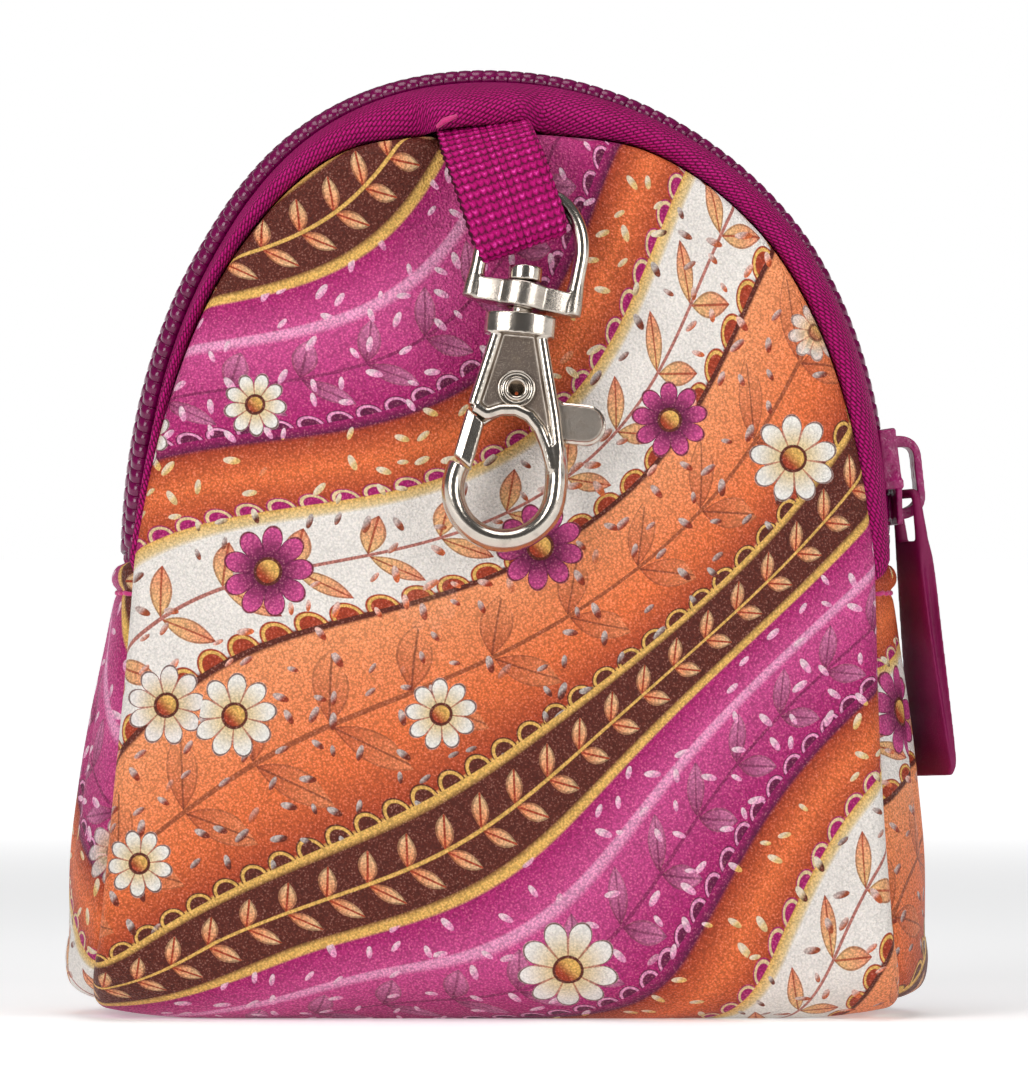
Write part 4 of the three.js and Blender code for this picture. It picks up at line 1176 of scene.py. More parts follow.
COIL_NYLON = clouded(
    "coil_nylon", dark=(86, 0, 52), light=(122, 4, 78), sizes=(3.0, 0.8, 0.3),
    gloss=(0.16, 0.12), relief=0.02, fixed={"Specular IOR Level": 0.45},
)
coil("coil_front", -1, 0.0)
coil("coil_back", 1, 0.5)

# %% [markdown]
# ## Simple closed forms
# The slider, the pull and the clasp are cast or moulded. Each of them can be put together from plates,
# posts and bent bars that overlap. A plate is an outline carried straight through, and a post is a
# profile spun about an axis, so a few helpers draw them all in a plane of their own.

# %% Form helpers
AXIS_GAP = 1e-3


def matrix(axes, origin):
    """A frame as a function from its own millimetres to the pouch's."""
    axes, origin = np.array(axes, float), np.array(origin, float)
    return lambda points: np.asarray(points, float) @ axes + origin


def turned_over(faces):
    """The same faces, seen from their other side."""
    return [[face[0], *face[:0:-1]] for face in faces]


def prism(outline, low, high):
    """Points and faces of an outline in x and y, carried from low to high along z."""
    outline = np.asarray(outline, float)
    count = len(outline)
    after = np.roll(outline, -1, axis=0)
    area = np.sum(outline[:, 0] * after[:, 1] - after[:, 0] * outline[:, 1])
    outline = outline if area > 0 else outline[::-1]
    ends = [np.c_[outline, np.full(count, level)] for level in (low, high)]
    return np.concatenate(ends), ring_faces(2, count)


def oblong(left, low, right, high):
    return [(left, low), (right, low), (right, high), (left, high)]


def spun(profile, steps=48):
    """Points and faces of a closed profile of radius and height, spun about y."""
    profile = np.asarray(profile, float)
    turn = np.linspace(0, 2 * np.pi, steps, endpoint=False)
    radius = profile[:, 0]
    along = np.tile(profile[:, 1], (steps, 1))
    rings = np.stack([np.outer(np.cos(turn), radius), along, np.outer(np.sin(turn), radius)], -1)
    ids = np.arange(steps * len(profile)).reshape(steps, -1)
    after = np.roll(ids, -1, axis=0)
    beside, diagonal = np.roll(ids, -1, axis=1), np.roll(after, -1, axis=1)
    faces = np.stack([ids, beside, diagonal, after], -1).reshape(-1, 4).tolist()
    return rings.reshape(-1, 3), faces


def upright(radius, low, high):
    """A round post along y."""
    return spun([(AXIS_GAP, low), (radius, low), (radius, high), (AXIS_GAP, high)])


def barrel(half, depth, low, high):
    """An oval post along y."""
    points, faces = upright(half, low, high)
    return points * (1, 1, depth / half), faces


def facing_out(solid, centre):
    """A form spun about y, turned so that its axis runs along z through a centre."""
    points, faces = solid
    return points[:, [0, 2, 1]] * (1, -1, 1) + (*centre, 0), faces


def bend(start, control, end, steps=14):
    """Points of a simple bend from start towards control to end, without its first point."""
    t = np.linspace(0, 1, steps + 1)[1:, None]
    start, control, end = (np.array(point, float) for point in (start, control, end))
    return ((1 - t) ** 2 * start + 2 * t * (1 - t) * control + t * t * end).tolist()


def arc(centre, radius, first, last, steps):
    turn = np.radians(np.linspace(first, last, steps))
    return (np.array(centre) + radius * np.stack([np.cos(turn), np.sin(turn)], -1)).tolist()


print("a post has", len(upright(1.0, 0.0, 1.0)[1]), "faces")

# %% [markdown]
# ## Casting
# On a casting every edge is a little round, and one form runs softly into the next. Bevelling each
# edge by hand is slow and breaks where forms meet. Joining the closed forms, remeshing them on a fine
# grid and smoothing a few times rounds everything alike, as plating and polish do. Bores are cut out
# before the last remesh. The table says how fine the grid is and how many times a piece is smoothed.

# %% Casting helpers
CASTINGS = {
    "slider_painted": {"voxel": 0.125, "rounds": 10},
    "pull_moulded": {"voxel": 0.15, "rounds": 5},
    "ring_nickel": {"voxel": 0.11, "rounds": 7},
    "hook_nickel": {"voxel": 0.11, "rounds": 5},
    "lever_nickel": {"voxel": 0.11, "rounds": 4},
}
SOFTEN = 0.5


def carve(item, cutters):
    """Cuts closed forms out of an object."""
    for solid in cutters:
        tool = joined("cutter", [solid])
        cut = item.modifiers.new("cut", "BOOLEAN")
        cut.operation = "DIFFERENCE"
        cut.solver = "EXACT"
        cut.object = tool
        apply_modifiers(item)
        bpy.data.objects.remove(tool)


def add_skin(item):
    skin = item.modifiers.new("skin", "REMESH")
    skin.mode = "VOXEL"
    skin.voxel_size = CASTINGS[item.name]["voxel"] * MM


def cast(name, solids, place, finish, body, slot, node, cutters=()):
    """Joins closed forms, cuts others out, rounds every edge and seats the piece on its body."""
    item = joined(name, [(place(points), faces) for points, faces in solids])
    add_skin(item)
    apply_modifiers(item)
    carve(item, [(place(points), faces) for points, faces in cutters])
    if cutters:
        add_skin(item)
    soft = item.modifiers.new("soft", "SMOOTH")
    soft.factor = SOFTEN
    soft.iterations = CASTINGS[name]["rounds"]
    apply_modifiers(item)
    item.data.materials.clear()
    return seat(item, finish, body, slot, node)


print(len(CASTINGS), "castings to come")

# %% [markdown]
# ## Slider
# The slider is a painted casting that clasps the coil: a plate over it, a plate under it, a post
# between the two coils and a flange on each side. A bow on its back, the bail, holds the pull. The
# paint is thick and a little lumpy, so the relief is stronger than on the coil.

# %% Slider
SLIDER = {
    "height": 61.0, "half": 5.5, "wide": 4.6, "narrow": 3.9, "tail": 2.85, "shoulder": -0.5,
    "gap": 0.3, "plate": 0.7, "under": -3.2, "under_thick": 1.0, "under_shares": (0.67, 0.9),
    "post_low": -4.6, "post_high": -2.2, "post_half": 0.8, "post_sink": 0.5,
    "flange": 1.0, "flange_foot": -1.15, "flange_low": -0.9, "flange_trim": 0.1, "flange_spread": 0.25,
    "lip_half": 0.5, "lip_rise": 0.15, "lip_front": 0.4,
}
BAIL = {
    "half": 1.3, "thick": 0.9, "room": 2.4, "low": -4.4, "high": 4.6, "bend": 2.2, "top": 1.35,
    "shoulder": 2.9, "corner": 1.2, "sink": 0.4, "foot": 0.6,
}


def slider_frame():
    """Axes out of the pouch, up along the zip and towards the front, with their origin."""
    angle = np.arcsin(((SLIDER["height"] - ARCH["base"]) / ARCH["rise"]) ** (ARCH["power"] / 2))
    origin, out, across = zip_frame(np.array(angle))
    return np.stack([out, np.cross(-across, out), -across]), origin


def turned_upright(solid):
    """A plate drawn with its width in x and its height in y, laid along the zip."""
    points, faces = solid
    return points[:, [2, 1, 0]] * (1, 1, -1), faces


def bail_outline(face):
    """The bow seen from the side: up its outer line and back down its inner one."""
    low, high, foot = BAIL["low"], BAIL["high"], BAIL["foot"]
    inner, sunk = face + BAIL["room"], face - BAIL["sink"]
    top, ceiling = inner + BAIL["thick"], high - BAIL["top"]
    shoulder, corner = BAIL["shoulder"], BAIL["corner"]
    line = [(sunk, low - foot)]
    line += bend(line[-1], (top, low - foot), (top, low + BAIL["bend"]))
    line += bend((top, high - shoulder), (top, high), (top - shoulder, high))
    line += [(sunk, high), (sunk, ceiling), (inner - corner, ceiling)]
    line += bend(line[-1], (inner, ceiling), (inner, ceiling - corner))
    line += [(inner, low + BAIL["bend"])]
    return line + bend(line[-1], (inner, low + foot), (sunk, low + foot))


def slider_flange(side, face):
    """The wall beside the coil, and the lip at its foot, which stands a little further out."""
    shape = SLIDER
    near = side * (TAPE["coil_half"] + shape["gap"])
    back, front = sorted((near, near + side * shape["flange"]))
    foot, low = shape["flange_foot"], shape["flange_low"]
    wall = oblong(foot, low, face - shape["flange_trim"], shape["half"] - shape["flange_trim"])
    lip = oblong(foot, low - shape["lip_half"], face + shape["lip_rise"], low + shape["lip_half"])
    lip_front = front + (shape["lip_front"] if side > 0 else 0)
    spread = shape["flange_spread"]
    return [prism(wall, back - spread, front + spread), prism(lip, back, lip_front)]


def slider():
    shape = SLIDER
    face = shape["gap"] + shape["plate"]
    half, under = shape["half"], shape["under"]
    right = [(shape["narrow"], half), (shape["wide"], shape["shoulder"]), (shape["tail"], -half)]
    lid = np.array(right + [(-x, y) for x, y in right[::-1]])
    solids = [turned_upright(prism(lid, shape["gap"], face))]
    lower = prism(lid * shape["under_shares"], under - shape["under_thick"], under)
    solids.append(turned_upright(lower))
    post = oblong(under - shape["post_sink"], shape["post_low"], face, shape["post_high"])
    solids.append(prism(post, -shape["post_half"], shape["post_half"]))
    solids += slider_flange(-1, face) + slider_flange(1, face)
    solids.append(prism(bail_outline(face), -BAIL["half"], BAIL["half"]))
    place = matrix(*slider_frame())
    cast("slider_painted", solids, place, LUMPY_PAINT, "pouch", "slider_paint", "zip_slider")


LUMPY_PAINT = clouded(
    "lumpy_paint", dark=(112, 0, 66), light=(166, 22, 106), sizes=(0.9, 2.0, 0.9),
    gloss=(0.24, 0.14), relief=0.22, fixed={"Specular IOR Level": 0.5},
)
slider()

# %% [markdown]
# ## Pull
# The pull is moulded and nearly matt. It swells below its eye, thins towards its end, and its edges
# are hollowed between two ridges. The tab could be cut from a plate, but a stack of rings, each a
# rounded oblong, gives the swell and the hollow at once. A bent bar makes the eye over it.

# %% Pull forms
PULL = {
    "hinge": 2.35, "drop": -2.1, "lean": np.radians(-1.5), "twist": np.radians(13), "bar": 0.55,
    "foot": 0.8, "leg": 2.6, "leg_half": 3.3, "corner": 1.2, "eye_end": -5.4, "shoulder": 0.6,
    "end_half": 5.6, "length": 32.0, "round_in": 1.2, "round_from": 1.4, "round_run": 1.6,
    "rings": 90, "sides": 48,
}
PULL_SIDE = {
    "along": (-32.2, -30, -24, -16, -10, -7.5, -6.4, -5.4),
    "inner": (0.35, 0.25, -0.05, -0.35, -0.5, -0.55, -0.55, -0.5),
    "outer": (1.1, 1.35, 1.45, 1.45, 1.45, 1.35, 1.2, 1.0),
    "groove": (0.0, 0.18, 0.38, 0.5, 0.35, 0.12, 0.0, 0.0),
}
PULL_LEG = ((0.25, -6.2), (0.2, -4.4), (0.1, -2.8), (0.02, -1.3))
PULL_SECTION = {"wide": 0.28, "thick": 0.45, "groove_half": 0.8, "groove_power": 20, "groove_gain": 2.4}


def pull_tab():
    """Rings down the tab: rounded oblongs whose edges are hollowed between two ridges."""
    shape, section = PULL, PULL_SECTION
    along = np.linspace(PULL_SIDE["along"][0], PULL_SIDE["along"][-1], shape["rings"])
    sides = [smooth(PULL_SIDE, "along", column, along) for column in ("inner", "outer", "groove")]
    widths = (shape["end_half"], shape["leg_half"], shape["leg_half"])
    half = np.interp(along, (-shape["length"], shape["eye_end"] - shape["shoulder"], 0), widths)
    end = np.clip((-shape["length"] + shape["round_from"] - along) / shape["round_run"], 0, 1)
    half = half - shape["round_in"] * end ** 2
    turn = np.linspace(0, 2 * np.pi, shape["sides"], endpoint=False)
    across, through = squared(np.sin(turn), section["wide"]), squared(np.cos(turn), section["thick"])
    hollow = np.clip(1 - (through / section["groove_half"]) ** 2, 0, 1)
    hollow = hollow * np.abs(across) ** section["groove_power"]
    rings = []
    for place, wide, low, high, dip in zip(along, half, *sides):
        x = (low + high) / 2 + through * (high - low) / 2
        z = across * (wide - dip * section["groove_gain"] * hollow)
        rings.append(np.stack([x, np.full_like(x, place), z], -1))
    return np.concatenate(rings), turned_over(ring_faces(len(rings), shape["sides"]))


def pull_eye():
    """The round bow over the tab: up one leg, across inside the bail and down the other."""
    shape = PULL
    leg = [(x, y, shape["leg"]) for x, y in PULL_LEG]
    half = np.array(leg + bend(leg[-1], (0, 0, shape["leg"]), (0, 0, shape["leg"] - shape["corner"])))
    path = resample(np.concatenate([half, half[::-1] * (1, 1, -1)]), shape["rings"])
    thick = np.interp(path[:, 1], (PULL_LEG[0][1], PULL_LEG[-1][1]), (shape["foot"], shape["bar"]))
    return tube(path, thick, sides=16, first=(1, 0, 0))


print("pull tab of", PULL["rings"], "rings with", PULL["sides"], "sides")

# %% [markdown]
# ## Hanging the pull
# The pull hangs from the bail, leans in a little and is twisted towards the front. It is drawn
# straight, and two turns in the slider's frame hang it, so the drawing stays simple. Its moulding is
# one dull magenta with soft clouds and a fine speckle, which also breaks up the gloss.

# %% Pull
MOULDING = {
    "dark": (100, 2, 52), "light": (142, 18, 86), "cloud": 4.0, "speckle": 0.18, "relief": 0.05,
    "rough": 0.4, "cloud_rough": 0.14, "speckle_rough": 0.1,
}


def matt_moulding():
    look = MOULDING
    material, shader, place = start_material("matt_moulding")
    spot = in_millimetres(place)
    cloud = noise(spot, look["cloud"], detail=3.0)
    speckle = noise(spot, look["speckle"])
    colour = cloud.mix(paint(*look["dark"]), paint(*look["light"]))
    gloss = cloud * look["cloud_rough"] + speckle * look["speckle_rough"] + look["rough"]
    varying = {"Base Color": colour, "Roughness": gloss}
    finish_material(place, shader, {"Specular IOR Level": 0.3}, varying, speckle, look["relief"])
    return material


def turning(angle, first, second):
    """A turn in the plane of two of a frame's axes, the first towards the second."""
    turn = np.eye(3)
    turn[first, first] = turn[second, second] = np.cos(angle)
    turn[first, second] = np.sin(angle)
    turn[second, first] = -np.sin(angle)
    return turn


def pull():
    axes, origin = slider_frame()
    hang = turning(PULL["twist"], 2, 0) @ turning(PULL["lean"], 0, 1)
    place = matrix(hang @ axes, np.array([PULL["hinge"], PULL["drop"], 0]) @ axes + origin)
    solids = [pull_tab(), pull_eye()]
    cast("pull_moulded", solids, place, matt_moulding(), "pull", "pull_moulding", "zip_pull")


pull()

# %% [markdown]
# ## Nickel
# The clasp is bright nickel plate with a light haze, and the sunk face of the hook is left matt and
# grey. One material does both: a number stored on each vertex says how matt it is, so polished and
# matt areas meet exactly at the rim. Two materials would need the faces cut along that line.

# %% Nickel material
NICKEL_INKS = {
    "bright": (208, 198, 186), "matt": (104, 92, 84), "haze": (126, 110, 96), "speck": (178, 166, 152),
}
NICKEL_GRAIN = {"haze": 1.6, "speck": 0.12, "relief": 0.04}
NICKEL_LOOK = {
    "haze": (0.45, 0.8), "haze_share": 0.5, "speck": (0.5, 0.75), "speck_share": 0.6,
    "polish": 0.09, "haze_rough": 0.2, "matt_rough": 0.22, "speck_rough": 0.2,
    "haze_height": 0.4, "speck_height": 0.1, "matt_height": 1.2,
}


def nickel_plate():
    material, shader, place = start_material("nickel_plate")
    spot = in_millimetres(place)
    inks = {name: paint(*colour) for name, colour in NICKEL_INKS.items()}
    matt = place.make("Attribute", {"attribute_name": "matt"}, None, "Fac")
    haze = noise(spot, NICKEL_GRAIN["haze"], detail=4.0)
    speck = noise(spot, NICKEL_GRAIN["speck"])
    look = NICKEL_LOOK
    colour = matt.mix(inks["bright"], inks["matt"])
    colour = (haze.ramp(*look["haze"]) * look["haze_share"]).mix(colour, inks["haze"])
    colour = (speck.ramp(*look["speck"]) * matt * look["speck_share"]).mix(colour, inks["speck"])
    gloss = haze * look["haze_rough"] + look["polish"]
    gloss = gloss + matt * (look["matt_rough"] + speck * look["speck_rough"])
    height = haze * look["haze_height"] + speck * (look["speck_height"] + matt * look["matt_height"])
    varying = {"Base Color": colour, "Roughness": gloss}
    finish_material(place, shader, {"Metallic": 1.0}, varying, height, NICKEL_GRAIN["relief"])
    return material


def vertex_places(item):
    """The places of an object's vertices, in millimetres."""
    places = np.empty(len(item.data.vertices) * 3)
    item.data.vertices.foreach_get("co", places)
    return places.reshape(-1, 3) / MM


def store(item, name, values):
    """Stores one number for each vertex, for the material to read."""
    attribute = item.data.attributes.new(name, "FLOAT", "POINT")
    attribute.data.foreach_set("value", np.asarray(values, np.float32))


NICKEL = nickel_plate()
print("nickel has", len(NICKEL.node_tree.nodes), "nodes")

# %% [markdown]
# ## Swivel ring
# The ring is a bow of wire on a flat bar, with a bored boss in its middle for the hook's stud. All
# pieces of the clasp are drawn upright in the clasp's own plane and turned into place, so a drawing
# stays simple however its piece leans on the pouch. The bar is a little duller than the wire.

# %% Clasp frame and ring
CLASP = {"swivel": (3.0, -17.2, 81.0), "slope": 8.2, "hook": -5.5, "ring": -11.0, "strap": 18.5}
RING = {
    "half": 5.6, "straight": 5.0, "height": 12.0, "wire": 0.85, "swell": 0.3, "swell_to": 2.6, "steps": 90,
    "foot": 0.2, "bar_half": 1.3, "bar_reach": 6.2, "bar_depth": 1.8, "boss": 2.9, "boss_half": 1.4,
    "bow_steps": 41, "bore": 1.5, "dull": 0.25,
}
CUT_PAST = 1


def clasp_frame(turn):
    """A frame in the clasp's plane, turned within it: x right, y up, z out of the front."""
    slope, turn = np.radians(90 - CLASP["slope"]), np.radians(turn)
    right = np.array([1, 0, 0])
    up = np.array([0, np.cos(slope), np.sin(slope)])
    front = np.cross(right, up)
    axes = [np.cos(turn) * right + np.sin(turn) * up, np.cos(turn) * up - np.sin(turn) * right, front]
    return np.array(axes), np.array(CLASP["swivel"])


def clasp_places(item, turn):
    """The places of a finished piece's vertices, back in the clasp's plane."""
    axes, origin = clasp_frame(turn)
    return ((vertex_places(item) - origin) @ axes.T).T


def level_line(points, steps, depth=0.0):
    """Evenly spaced points along a line drawn in the clasp's plane."""
    return np.c_[resample(np.array(points, float), steps), np.full(steps, depth)]


def ring_line():
    shape = RING
    turn = np.radians(np.linspace(180, 0, shape["bow_steps"]))
    rise = shape["straight"] + (shape["height"] - shape["straight"]) * np.sin(turn)
    bow = np.stack([shape["half"] * np.cos(turn), rise], -1)
    half, foot = shape["half"], shape["foot"] - shape["bar_half"]
    return level_line(np.concatenate([[(-half, foot)], bow, [(half, foot)]]), shape["steps"])


def swivel_ring():
    shape = RING
    line = ring_line()
    thick = shape["wire"] + shape["swell"] * np.clip(1 - line[:, 1] / shape["swell_to"], 0, 1)
    solids = [
        tube(line, thick, sides=20),
        barrel(shape["bar_reach"], shape["bar_depth"], -shape["bar_half"], shape["bar_half"]),
        upright(shape["boss"], -shape["boss_half"], shape["boss_half"]),
    ]
    bore = [upright(shape["bore"], -shape["boss_half"] - CUT_PAST, shape["boss_half"] + CUT_PAST)]
    place = matrix(*clasp_frame(CLASP["ring"]))
    item = cast("ring_nickel", solids, place, NICKEL, "pouch", "nickel", "swivel_ring", bore)
    store(item, "matt", shape["dull"] * (clasp_places(item, CLASP["ring"])[1] < shape["boss_half"]))


swivel_ring()

# %% [markdown]
# ## Snap hook
# The hook is one casting: a stud that turns in the ring, a collar, a body with raised rims and a sunk
# face, and the round bar of the eye. A drawn outline makes the body, and bent bars laid over its edges
# make the rims. A pocket behind the face takes the lever, and a bore takes the rivet.

# %% Hook
STUD = {"neck": 1.15, "head": 1.9, "head_foot": 1.75, "head_top": 3.4, "overlap": 0.5}
HOOK = {
    "collar_top": -2.1, "collar_foot": -4.5, "collar_half": 4.0, "collar_depth": 2.6, "shoulder": 2.9,
    "overlap": 0.5, "hip": 5.3, "hip_height": -13.0, "thick": 3.6, "sunk": 0.95, "rim": 0.72, "bar": 1.3,
    "bar_flat": 1.38, "eye": -21.9, "eye_radius": 5.7, "tip": 156.4, "pocket_top": 0.4,
}
HOOK_HIP = ((6.6, -17.4), (6.8, -19.6))
HOOK_ARM = (4.6, -19.6)
HOOK_EYE = (
    ((4.15, -17.3), (3.25, -15.8)),
    ((1.85, -13.6), (0.4, -13.6)),
    ((-1.5, -13.6), (-2.8, -14.5)),
)
GATE_SEAT = (-4.75, -12.95)
HOOK_TAIL = [(5.72, -20.4), (5.5, -18.6), (5.1, -16.6)]
HOOK_RIMS = (
    ((-2.45, -4.4), (-3.2, -8.0), (-4.15, -12.4), (-4.2, -12.9)),
    ((2.45, -4.4), (3.6, -8.9), (4.75, -13.2), (5.6, -17.2), (5.75, -20.6)),
    ((-4.15, -13.0), (-2.7, -13.75), (-1.2, -13.1), (0.5, -12.95), (2.0, -13.5), (3.3, -14.9),
     (4.3, -16.9), (5.2, -19.4)),
)
HOOK_POCKET = ((-2, -6.8), (-4, -12.6), (-4.6, -16.6), (12, -16.6), (12, -6.8))
HOOK_FACE = {"soft": 0.12, "half": 4.4, "top": -4.7, "foot": -16}
PIVOT = (0.3, -10.6)
RIVET_BORE = 1.25


def hook_plate():
    """Outline of the hook's body and of the top of its arm."""
    shape = HOOK
    top = shape["collar_foot"] + shape["overlap"]
    line = [(-shape["shoulder"], top), (shape["shoulder"], top), (shape["hip"], shape["hip_height"])]
    line += bend(line[-1], *HOOK_HIP) + [HOOK_ARM]
    for control, end in HOOK_EYE:
        line += bend(line[-1], control, end)
    return line + [GATE_SEAT]


def hook_eye():
    """The round bar of the eye, from its tip round to the arm."""
    shape = HOOK
    line = arc((0, shape["eye"]), shape["eye_radius"], shape["tip"], last=360, steps=80) + HOOK_TAIL
    return tube(level_line(line, steps=120), shape["bar"], sides=24, flat=shape["bar_flat"])


def hook():
    shape = HOOK
    front = shape["thick"] / 2
    solids = [prism(hook_plate(), -front, shape["sunk"]), hook_eye()]
    for line in HOOK_RIMS:
        rim = level_line(line, steps=60, depth=front - shape["rim"])
        solids.append(tube(rim, shape["rim"], sides=16))
    low, high = shape["collar_foot"], shape["collar_top"]
    solids.append(barrel(shape["collar_half"], shape["collar_depth"], low, high))
    neck = (high - STUD["overlap"], STUD["head_foot"] + STUD["overlap"])
    solids.append(upright(STUD["neck"], *neck))
    solids.append(upright(STUD["head"], STUD["head_foot"], STUD["head_top"]))
    past = front + CUT_PAST
    pocket = prism(HOOK_POCKET, -past, shape["pocket_top"])
    cutters = [pocket, facing_out(upright(RIVET_BORE, -past, past), PIVOT)]
    place = matrix(*clasp_frame(CLASP["hook"]))
    item = cast("hook_nickel", solids, place, NICKEL, "hook", "nickel", "hook_body", cutters)
    x, y, z = clasp_places(item, CLASP["hook"])
    face = np.clip(1 - np.abs(z - shape["sunk"]) / HOOK_FACE["soft"], 0, 1)
    inside = (np.abs(x) < HOOK_FACE["half"]) & (y < HOOK_FACE["top"]) & (y > HOOK_FACE["foot"])
    store(item, "matt", face * inside)


hook()

# %% [markdown]
# ## Gate lever and rivet
# A sprung lever closes the eye: a gate of two facets, a hub on the rivet, and a flat lug for the thumb
# with a bevelled edge. The rivet is hollow and its front is rolled over into a lip. It is a turned
# piece with crisp rings, so it is spun from a profile and not remeshed.

# %% Lever and rivet
LEVER = {
    "back": -1.5, "front": 0.2, "hub": 2.3, "lug_end": 8.3, "lug_neck": 5.6, "lug_height": -13.7,
    "lug_radius": 2.3, "bevel": 0.35, "dull": 0.55, "face_from": 4.5, "face_soft": 0.15,
}
LEVER_ARM = ((-1.5, -11), (-3.9, -13.7), (-3.2, -15), (-0.2, -12.7), (0.3, -10.6))
LEVER_GATE = ((-4.97, -13.24), (-6, -18.5), (-3.92, -20.02), (-2.95, -14.86))
GATE_SECTION = ((0, 0.9), (0.05, 1.2), (0.45, 1.6), (0.95, 1.48), (1, 1.2))
LUG_ROOT = [(1.6, -8.8), (1.2, -12.8)]
RIVET_PROFILE = (
    (0.2, -2.5), (2.05, -2.4), (2.05, -2.0), (0.98, -2.0), (0.98, 1.15), (2.05, 1.15), (2.13, 1.31),
    (2.05, 1.45), (1.93, 1.45), (1.85, 1.17), (1.6, 1.15), (1.4, 1.17), (1.36, 1.55), (1.22, 1.67),
    (0.96, 1.61), (0.84, 1.35), (0.84, -1.8), (0.2, -2.0),
)


def gate():
    """The bar that closes the eye: two facets in front, with slanted ends."""
    section = np.array(GATE_SECTION)
    section = np.concatenate([section, section[::-1] * (1, -1)])
    share, depth = section[:, :1], section[:, 1]
    top_left, low_left, low_right, top_right = np.array(LEVER_GATE)
    top = np.c_[top_left + share * (top_right - top_left), depth]
    low = np.c_[low_left + share * (low_right - low_left), depth]
    return np.concatenate([top, low]), turned_over(ring_faces(2, len(section)))


def lug_outline(inset):
    """The thumb lug beside the hook, drawn in by a given distance."""
    shape = LEVER
    radius = shape["lug_radius"] - inset
    low, high = shape["lug_height"] - radius, shape["lug_height"] + radius
    round_end = arc((shape["lug_end"], shape["lug_height"]), radius, first=-90, last=90, steps=30)
    return LUG_ROOT + [(shape["lug_neck"], low)] + round_end + [(shape["lug_neck"], high)]


def lever():
    shape = LEVER
    back, front = shape["back"], shape["front"]
    hub = facing_out(upright(shape["hub"], back, front), PIVOT)
    solids = [hub, gate(), prism(LEVER_ARM, back, front)]
    solids.append(prism(lug_outline(0), back, front - shape["bevel"]))
    solids.append(prism(lug_outline(shape["bevel"]), back, front))
    bore = [facing_out(upright(RIVET_BORE, back - CUT_PAST, front + CUT_PAST), PIVOT)]
    place = matrix(*clasp_frame(CLASP["hook"]))
    item = cast("lever_nickel", solids, place, NICKEL, "lever", "nickel", "gate_lever", bore)
    x, y, z = clasp_places(item, CLASP["hook"])
    away = (x - shape["lug_end"]) ** 2 + (y - shape["lug_height"]) ** 2
    inside = (away < (shape["lug_radius"] - shape["bevel"]) ** 2) | (x < shape["lug_end"])
    lug_face = inside & (x > shape["face_from"]) & (z > front - shape["face_soft"])
    store(item, "matt", lug_face * shape["dull"])


def rivet():
    points, faces = facing_out(spun(RIVET_PROFILE, steps=64), PIVOT)
    place = matrix(*clasp_frame(CLASP["hook"]))
    item = joined("rivet_nickel", [(place(points), faces)])
    store(item, "matt", np.zeros(len(points)))
    seat(item, NICKEL, "hook", "nickel", "hook_rivet")


lever()
rivet()

# %% [markdown]
# ## Webbing cloth
# The webbing is woven of thick magenta thread. Its weave will be in the mesh itself, and the mesh will
# store how high each point lies. The material reads that number and paints light and shade from it:
# a painted shade between the threads and a painted highlight on their tips. It adds only what is
# finer: the strands of a thread, and fuzz.

# %% Webbing material
WEAVE = {
    "warp": 0.77, "weft": 1.0, "height": 0.22, "slant": 0.34, "hop": 0.12, "hop_rate": 2.6, "edge": 0.10,
    "even": 0.8, "flank": 3, "crown": 0.6, "over": 0.9, "strands": 4, "strand_slant": 1.2, "fuzz": 0.16,
    "relief": 0.13,
}
WEBBING_INKS = {"dark": (72, 0, 36), "light": (186, 0, 110), "tip": (252, 84, 190)}
WEBBING_LOOK = {
    "shade": (0.12, 0.72), "shade_lift": 0.85, "shade_fuzz": 0.3, "tip": (0.78, 1.1), "highlight_lift": 0.8,
    "highlight_fuzz": 0.5, "highlight_share": 0.95, "rough": 0.62, "shine": 0.15, "strand": 0.5, "fuzz": 0.9,
}


def webbing_cloth():
    material, shader, place = start_material("webbing_cloth")
    along, across, _ = map_place(place).parts()
    turns = across / WEAVE["warp"] * WEAVE["strands"] * np.pi
    strand = abs((turns + along * WEAVE["strand_slant"]).sin())
    fuzz = noise(in_millimetres(place), WEAVE["fuzz"], detail=3.0)
    lift = place.make("Attribute", {"attribute_name": "lift"}, None, "Fac")
    look = WEBBING_LOOK
    # Painted shade between the threads, from the height of the weave.
    shade = (lift * look["shade_lift"] + fuzz * look["shade_fuzz"]).ramp(*look["shade"])
    # Painted highlight on the tips of the threads.
    tip = (lift * look["highlight_lift"] + fuzz * look["highlight_fuzz"]).ramp(*look["tip"])
    colour = shade.mix(paint(*WEBBING_INKS["dark"]), paint(*WEBBING_INKS["light"]))
    colour = (tip * look["highlight_share"]).mix(colour, paint(*WEBBING_INKS["tip"]))
    fixed = {"Sheen Weight": 0.01, "Sheen Roughness": 0.35, "Specular IOR Level": 0.16}
    varying = {"Base Color": colour, "Roughness": look["rough"] - strand * look["shine"]}
    height = strand * look["strand"] + fuzz * look["fuzz"]
    finish_material(place, shader, fixed, varying, height, WEAVE["relief"])
    return material


WEBBING = webbing_cloth()
print("webbing material has", len(WEBBING.node_tree.nodes), "nodes")

# %% [markdown]
# ## The run of the webbing
# A strip of webbing is sewn into the top seam, passes round the ring and comes back up behind itself.
# A hanging strip could be simulated, but its place is known from the photo. A table gives the line
# between its two layers, and each layer lies to one side of that line, with a round fold between.

